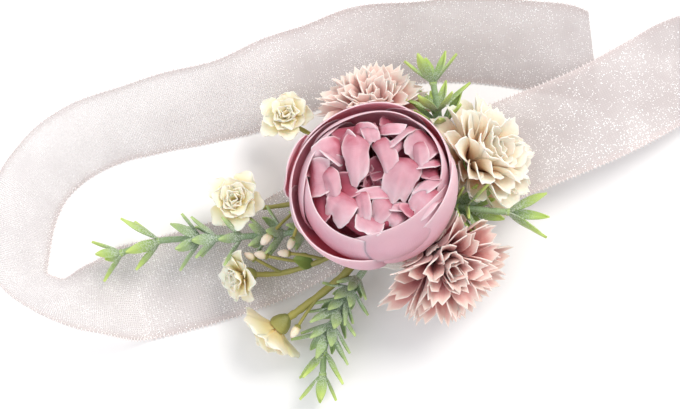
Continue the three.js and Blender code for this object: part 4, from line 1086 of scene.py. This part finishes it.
# Chrysanthemums

STRAP_TEETH = (-0.2, -0.03, -0.13, 0.04, -0.13, -0.03, -0.2)
SOFT_TEETH = (-0.18, -0.07, -0.06, 0.02, -0.08, -0.05, -0.16)
# Node, then rings of count, share of the petal length, hub radius and height, opening at foot and tip in
# degrees and phase
MUM_RINGS = [
    ("petals_outer", [(10, 1.0, 2.6, 3.8, 66, 92, 0.0), (9, 1.0, 2.6, 4.4, 54, 80, 0.28)]),
    ("petals_middle", [(8, 0.95, 2.4, 5.2, 42, 68, 0.1), (7, 0.9, 2.4, 5.8, 32, 56, 0.45)]),
    ("petals_inner", [(6, 0.84, 2.2, 6.6, 22, 44, 0.1), (4, 0.76, 2.0, 7.2, 14, 32, 0.5)]),
    ("tuft", [(3, 0.66, 1.4, 8.0, 8, 22, 0.5), (2, 0.56, 0.6, 8.4, 3, 12, 0.2)]),
]


# A strap pressed further than this against its neighbour is snipped to a share, down to a least span
SNIP_PRESS = 3.5
SNIP_SHARE = 0.8
SNIP_SPAN = 3


def pressed_strap(points, level, fence):
    """A strap pressed clear of what lies under it, of the next head if a fence is set, and of the peony."""
    if fence:
        points = beside(points, *fence)
    return clear_of_peony(above(points, level))


def add_mum(name, at, heading, lean, petal, teeth, hollow, material, slot, level, fence=None):
    """A head of strap petals in rings on a calyx, leaning towards a heading."""
    head = head_matrix(at, heading, lean, 2.2)
    for node, rings in MUM_RINGS:
        stock = Stock()
        for count, share, hub, height, foot, tip, phase in rings:
            for k in range(count):
                # No two straps have the same turn, length, width, opening and roll
                luck = draw.random(5)
                turn = phase + FULL_TURN * (k + 0.35 * (luck[0] - 0.5)) / count
                length = petal * share * (0.93 + 0.14 * luck[1])
                grid = strap_grid(
                    turn,
                    length,
                    STRAP_WIDTH * (0.9 + 0.2 * luck[2]),
                    (hub, height),
                    foot + 8 * (luck[3] - 0.5),
                    tip + 14 * (luck[3] - 0.5),
                    hollow,
                    STRAP,
                    teeth,
                    0.9 * (luck[4] - 0.5),
                    0.3,
                )
                free = moved(grid, head)
                laid = pressed_strap(free.copy(), level, fence)
                while (
                    np.linalg.norm(laid - free, axis=-1).max() > SNIP_PRESS
                    and np.ptp(free[..., :2]) > SNIP_SPAN
                ):
                    free = free[:1] + SNIP_SHARE * (free - free[:1])
                    laid = pressed_strap(free.copy(), level, fence)
                stock.shell(laid, PETAL_SHEET, luck[2], STRAP_WIDTH, petal)
        stock.piece(f"{name}_{node}_cloth", material, slot, f"{name}_{node}")
    calyx = Stock()
    turn_calyx(calyx, head, MUM_CUP, 20, 7.2, 7.5)
    calyx.piece(f"{name}_calyx_moulded", CALYX_GREEN, "green_plastic", f"{name}_calyx")


add_mum("mum_top", (-5.4, 15.2), 94, 31, 12.4, STRAP_TEETH, 1.7, BLUSH_CLOTH, "blush_silk", 2.2)
fence = ((16, -4.4), (-0.37, -0.93))
add_mum("mum_right", (15.6, 5.4), 14, 40, 14.6, SOFT_TEETH, 1.5, CREAM_CLOTH, "cream_silk", 2.4, fence)
fence = ((16, -7), (0.37, 0.93))
add_mum("mum_low", (8, -14.4), -56, 37, 15.8, STRAP_TEETH, 2.3, DUSK_CLOTH, "dusky_silk", -1.0, fence)


# Blossom sprays


def round_petal(turn, length, width, hub, open_foot, open_tip, cup, wave):
    """A round spoon-shaped petal with a lightly frilled lip."""
    s, v = sheet_places(*ROUND_GRID)
    at, run = bent_rib(s * (1 - 0.22 * v**2 * s**2), hub, length, open_foot, open_tip)
    half = width / 2 * (0.28 + 0.72 * ease(s, 0.0, 0.6)) * np.sqrt(1 - 0.6 * ease(s, 0.7, 1.0) ** 2)
    rise = cup * v**2 * np.minimum(1, 2 * s) + 0.36 * s**3 * np.sin(4.2 * v + wave)
    return off_rib(at, run, v * half, rise, turn)


def add_blossom(name, tip, facing, scale):
    """A blossom of round petals with a crowded centre, facing a direction."""
    frame_at = aimed(tip, facing)
    radius = BLOSSOM_RADIUS * scale
    petals, centre = Stock(), Stock()
    # Piece, count, length and width as shares of the radius, opening at foot and tip, hub radius and height
    rings = [
        (petals, 5, 0.94, 0.8, 62, 94, 1.4, 2.1), (petals, 5, 0.76, 0.74, 48, 72, 1.3, 2.5),
        (centre, 5, 0.64, 0.6, 32, 54, 1.0, 2.9), (centre, 4, 0.54, 0.5, 18, 40, 0.8, 3.0),
        (centre, 3, 0.44, 0.44, 6, 24, 0.4, 3.1),
    ]
    for ring, (stock, count, share, broad, foot, end, hub, height) in enumerate(rings):
        for k in range(count):
            luck = draw.random(4)
            grid = round_petal(
                FULL_TURN * (k + 0.35 * (luck[0] - 0.5) + 0.5 * ring) / count,
                radius * share * (0.85 + 0.3 * luck[1]),
                radius * broad,
                (hub, height),
                foot + 16 * (luck[2] - 0.5),
                end + 36 * (luck[2] - 0.5),
                0.85,
                PHASE_TURN * luck[3],
            )
            # A petal that would reach through the table lies on it
            grid = above(moved(grid, frame_at), TABLE + BLOSSOM_SHEET, 1.0)
            stock.shell(grid, BLOSSOM_SHEET, luck[1], 5, 6)
    centre.turned([(CORE, 2.9), (1.1, 2.9), (1.2, 3.2), (0.8, 3.5), (CORE, 3.6)], frame_at, 12)
    petals.piece(name + "_petals_cloth", BLOSSOM_CLOTH, "ivory_silk", name + "_petals")
    centre.piece(name + "_centre_cloth", BLOSSOM_CLOTH, "ivory_silk", name + "_centre")


# Route from the felt to the blossom, facing, scale, stoutness, and side branches with their bud radius
SPRAYS = {
    "spray_top": (
        [(-12, 9, SPRAY_SEAT), (-17, 12.4, 3.9), (-23.6, 16.8, 1), (-26.6, 18.8, 1.4)],
        (-0.12, 0.12, 1),
        0.95,
        1,
        [],
    ),
    "spray_left": (
        [(-14.5, -1, SPRAY_SEAT), (-22, -2.4, 3.8), (-34, -3.4, 1), (-39.2, -2.2, 1.4)],
        (-0.1, -0.05, 1),
        1.05,
        1,
        [
            ([(-18, -1.7, 4.1), (-23, -7, 8), (-25.6, -13.6, 8)], 1.1),
            ([(-22, -2.4, 3.8), (-27.6, -8, 6.4), (-31.6, -12.4, 7.2)], 1.3),
        ],
    ),
    "spray_side": (
        [(-11, -13, SPRAY_SEAT), (-17.6, -17, 3.7), (-28, -20, 1.4), (-35.6, -20.4, 1)],
        (-0.85, -0.3, 0.5),
        0.98,
        1.2,
        [
            ([(-17.6, -17, 3.7), (-23, -16.4, 6.6), (-27.2, -16.2, 7.4)], 1.1),
            ([(-20.6, -18, 3), (-27.4, -17.4, 5.6), (-32.8, -16.4, 6)], 1.2),
            ([(-28, -20, 1.4), (-32, -18.4, 4), (-35.6, -16.6, 5)], 1.1),
        ],
    ),
    "spray_low": (
        [(-7.6, -15.4, SPRAY_SEAT), (-13.4, -21.4, 3.6), (-22.6, -28.6, 2.2), (-27.6, -32, 1.4)],
        (-0.57, -0.51, -0.3),
        1.34,
        1.7,
        [([(-18.4, -25.4, 2.8), (-22.4, -31, 3.6), (-24.6, -34.6, 3.2)], 1.2)],
    ),
}


def stem_bar(stock, points, diameter, steps):
    """A moulded stem with slight knots along it."""
    t = np.linspace(0, 1, steps)
    knots = 1 + 0.12 * np.sin(9 * t * math.pi) ** 4 + 0.05 * np.sin(31 * t)
    stock.tube(route(points, t), diameter / 2 * knots, 10, draw.random(), along=0.2 + 0.6 * t)


# A branch's share of its stem's diameter
BRANCH_SHARE = 0.7
# [radius, z] of the cup under a blossom, and of a bud and the cup under it
SPRAY_CUP = np.array([(0.3, -1.5), (0.8, -1.1), (1.5, -0.1), (1.9, 1.1), (1.9, 1.6), (1.4, 1.7), (CORE, 1.4)])
BUD = np.array(
    [(CORE, -1.1), (0.5, -0.95), (0.8, -0.4), (0.86, 0.2), (0.74, 0.9), (0.42, 1.5), (CORE, 1.75)]
)
BUD_CUP = np.array([(0.25, -1.5), (0.7, -1.0), (0.85, -0.75), (CORE, -0.7)])


def add_spray(name, points, facing, scale, stout, branches):
    """A stem with its blossom, and side branches that end in buds."""
    stems, buds = Stock(), Stock()
    stem_bar(stems, points, SPRAY_STEM * stout, 40)
    stems.turned(SPRAY_CUP * (0.5 + 0.5 * stout), aimed(points[-1], facing), 20, 5, 0.08)
    for way, size in branches:
        stem_bar(stems, way, SPRAY_STEM * BRANCH_SHARE, 24)
        end = aimed(way[-1], heading_along(way, 1.0))
        buds.turned(BUD * size, end, 16, 5, 0.03, draw.random())
        stems.turned(BUD_CUP * size, end, 10)
    stems.piece(name + "_stem_moulded", OLIVE_GREEN, "olive_plastic", name + "_stem")
    if branches:
        buds.piece(name + "_buds", BUD_CLOTH, "ivory_silk")
    add_blossom(name + "_blossom", points[-1], facing, scale)


def add_spray_leaf():
    """The one small broad leaf that is left on the side spray's stem."""
    s, v = sheet_places(*LEAF_GRID)
    grid = route([(-20.4, -17.9, 2.9), (-22.8, -17.6, 4.7), (-25.4, -17.2, 5.2)], s)
    grid[..., 1] += 2.1 * v * np.sin(math.pi * (0.04 + 0.96 * s) ** 0.85)
    grid[..., 2] += 0.5 * np.abs(v) * np.sin(math.pi * s)
    leaf = Stock()
    leaf.shell(grid, LEAF_SHEET, 0.3, 4, 6)
    leaf.piece("spray_side_leaf_moulded", CALYX_GREEN, "green_plastic")


for name, spray in SPRAYS.items():
    add_spray(name, *spray)
add_spray_leaf()


# Leaf sprigs

# Route from the felt to the tip, then whorls by place along it, share of leaf length, opening in degrees,
# phase and count
SPRIGS = {
    "sprig_left": (
        [(-13, -6, SPRIG_SEAT), (-20, -9.4, 4.4), (-44, -11.6, 3), (-58.6, -12, 1.6), (-68, -14.8, 0.4)],
        [
            (0.34, 0.8, 62, 0.2, 6), (0.44, 0.85, 60, 0.9, 6), (0.57, 0.95, 54, 0.4, 6),
            (0.76, 1.1, 46, 1, 5), (1, 0.86, 42, 0.3, 4),
        ],
    ),
    "sprig_low": (
        [(-3, -14.4, SPRIG_SEAT), (-8, -20, 4), (-14.6, -30, 2.4), (-17.4, -38, 1.2), (-18, -45, 0.2)],
        [
            (0.36, 0.8, 62, 0.3, 6), (0.48, 0.9, 58, 0.8, 6), (0.65, 1.05, 56, 0.2, 5),
            (0.82, 1.1, 54, 0.7, 4), (1, 0.9, 42, 0.1, 4),
        ],
    ),
    "sprig_top": (
        [(8.6, 7.6, SPRIG_SEAT), (11, 13.4, 10.5), (9.9, 19.6, 15), (9, 24.4, 16.6)],
        [(0.6, 1.25, 64, 0.2, 6), (1, 1.1, 48, 0.7, 5)],
    ),
    "sprig_right": (
        [(11, -3.4, SPRIG_SEAT), (15.6, -5.4, 11), (21, -6.8, 14), (27, -7.4, 14.6)],
        [(0.46, 1.15, 58, 0.9, 5), (1, 1.2, 40, 0.1, 5)],
    ),
}
# [radius, z] of the collar that a whorl is moulded on
COLLAR = [(CORE, -0.7), (0.85, -0.6), (1.0, 0.0), (0.85, 0.6), (CORE, 0.75)]


def add_whorl(stock, points, place, count, share, opening, phase, hub):
    """A ring of lance-shaped leaves, folded along the midrib, leaning forward along the stem."""
    matrix = aimed(route(points, place), heading_along(points, place))
    for k in range(count):
        luck = draw.random(4)
        grid = strap_grid(
            phase + FULL_TURN * (k + 0.3 * (luck[0] - 0.5)) / count,
            LEAF_LENGTH * share * (0.85 + 0.3 * luck[1]),
            LEAF_WIDTH * (0.9 + 0.25 * luck[2]),
            hub,
            opening + 14 * (luck[3] - 0.5),
            opening - 12 + 26 * (luck[3] - 0.5),
            0.1,
            LANCE,
            None,
            0.6 * (luck[2] - 0.5),
            0.34,
        )
        stock.shell(clear_of_peony(moved(grid, matrix)), LEAF_SHEET, luck[1], LEAF_WIDTH, LEAF_LENGTH)
    stock.turned(COLLAR, matrix, 12)


def add_sprig(name, points, whorls):
    """A flocked stem and its whorls of leaves, the inner ones doubled."""
    stems = Stock()
    stem_bar(stems, points, SPRIG_STEM, 60)
    stems.piece(name + "_stem_flocked", FROST_GREEN, "frosted_plastic", name + "_stem")
    for number, (place, share, opening, phase, count) in enumerate(whorls, 1):
        stock = Stock()
        inner = len(whorls) > 2 and number < 4
        hub = (0.7, 0.35) if place >= 1 else (0.85, 0.0)
        add_whorl(stock, points, place, count, share, opening, phase, hub)
        if inner or number == 1:
            # A second ring of shorter leaves behind the first
            gap = 0.06 if inner else 0.16
            add_whorl(stock, points, place - gap, 6, 0.85 * share, opening - 6, phase + 0.5, (0.85, 0.0))
        green = FROSTED_LEAF if inner else LEAF_GREEN
        stock.piece(f"{name}_leaves_{number}_moulded", green, "leaf_plastic", f"{name}_leaves_{number}")


for name, sprig in SPRIGS.items():
    add_sprig(name, *sprig)
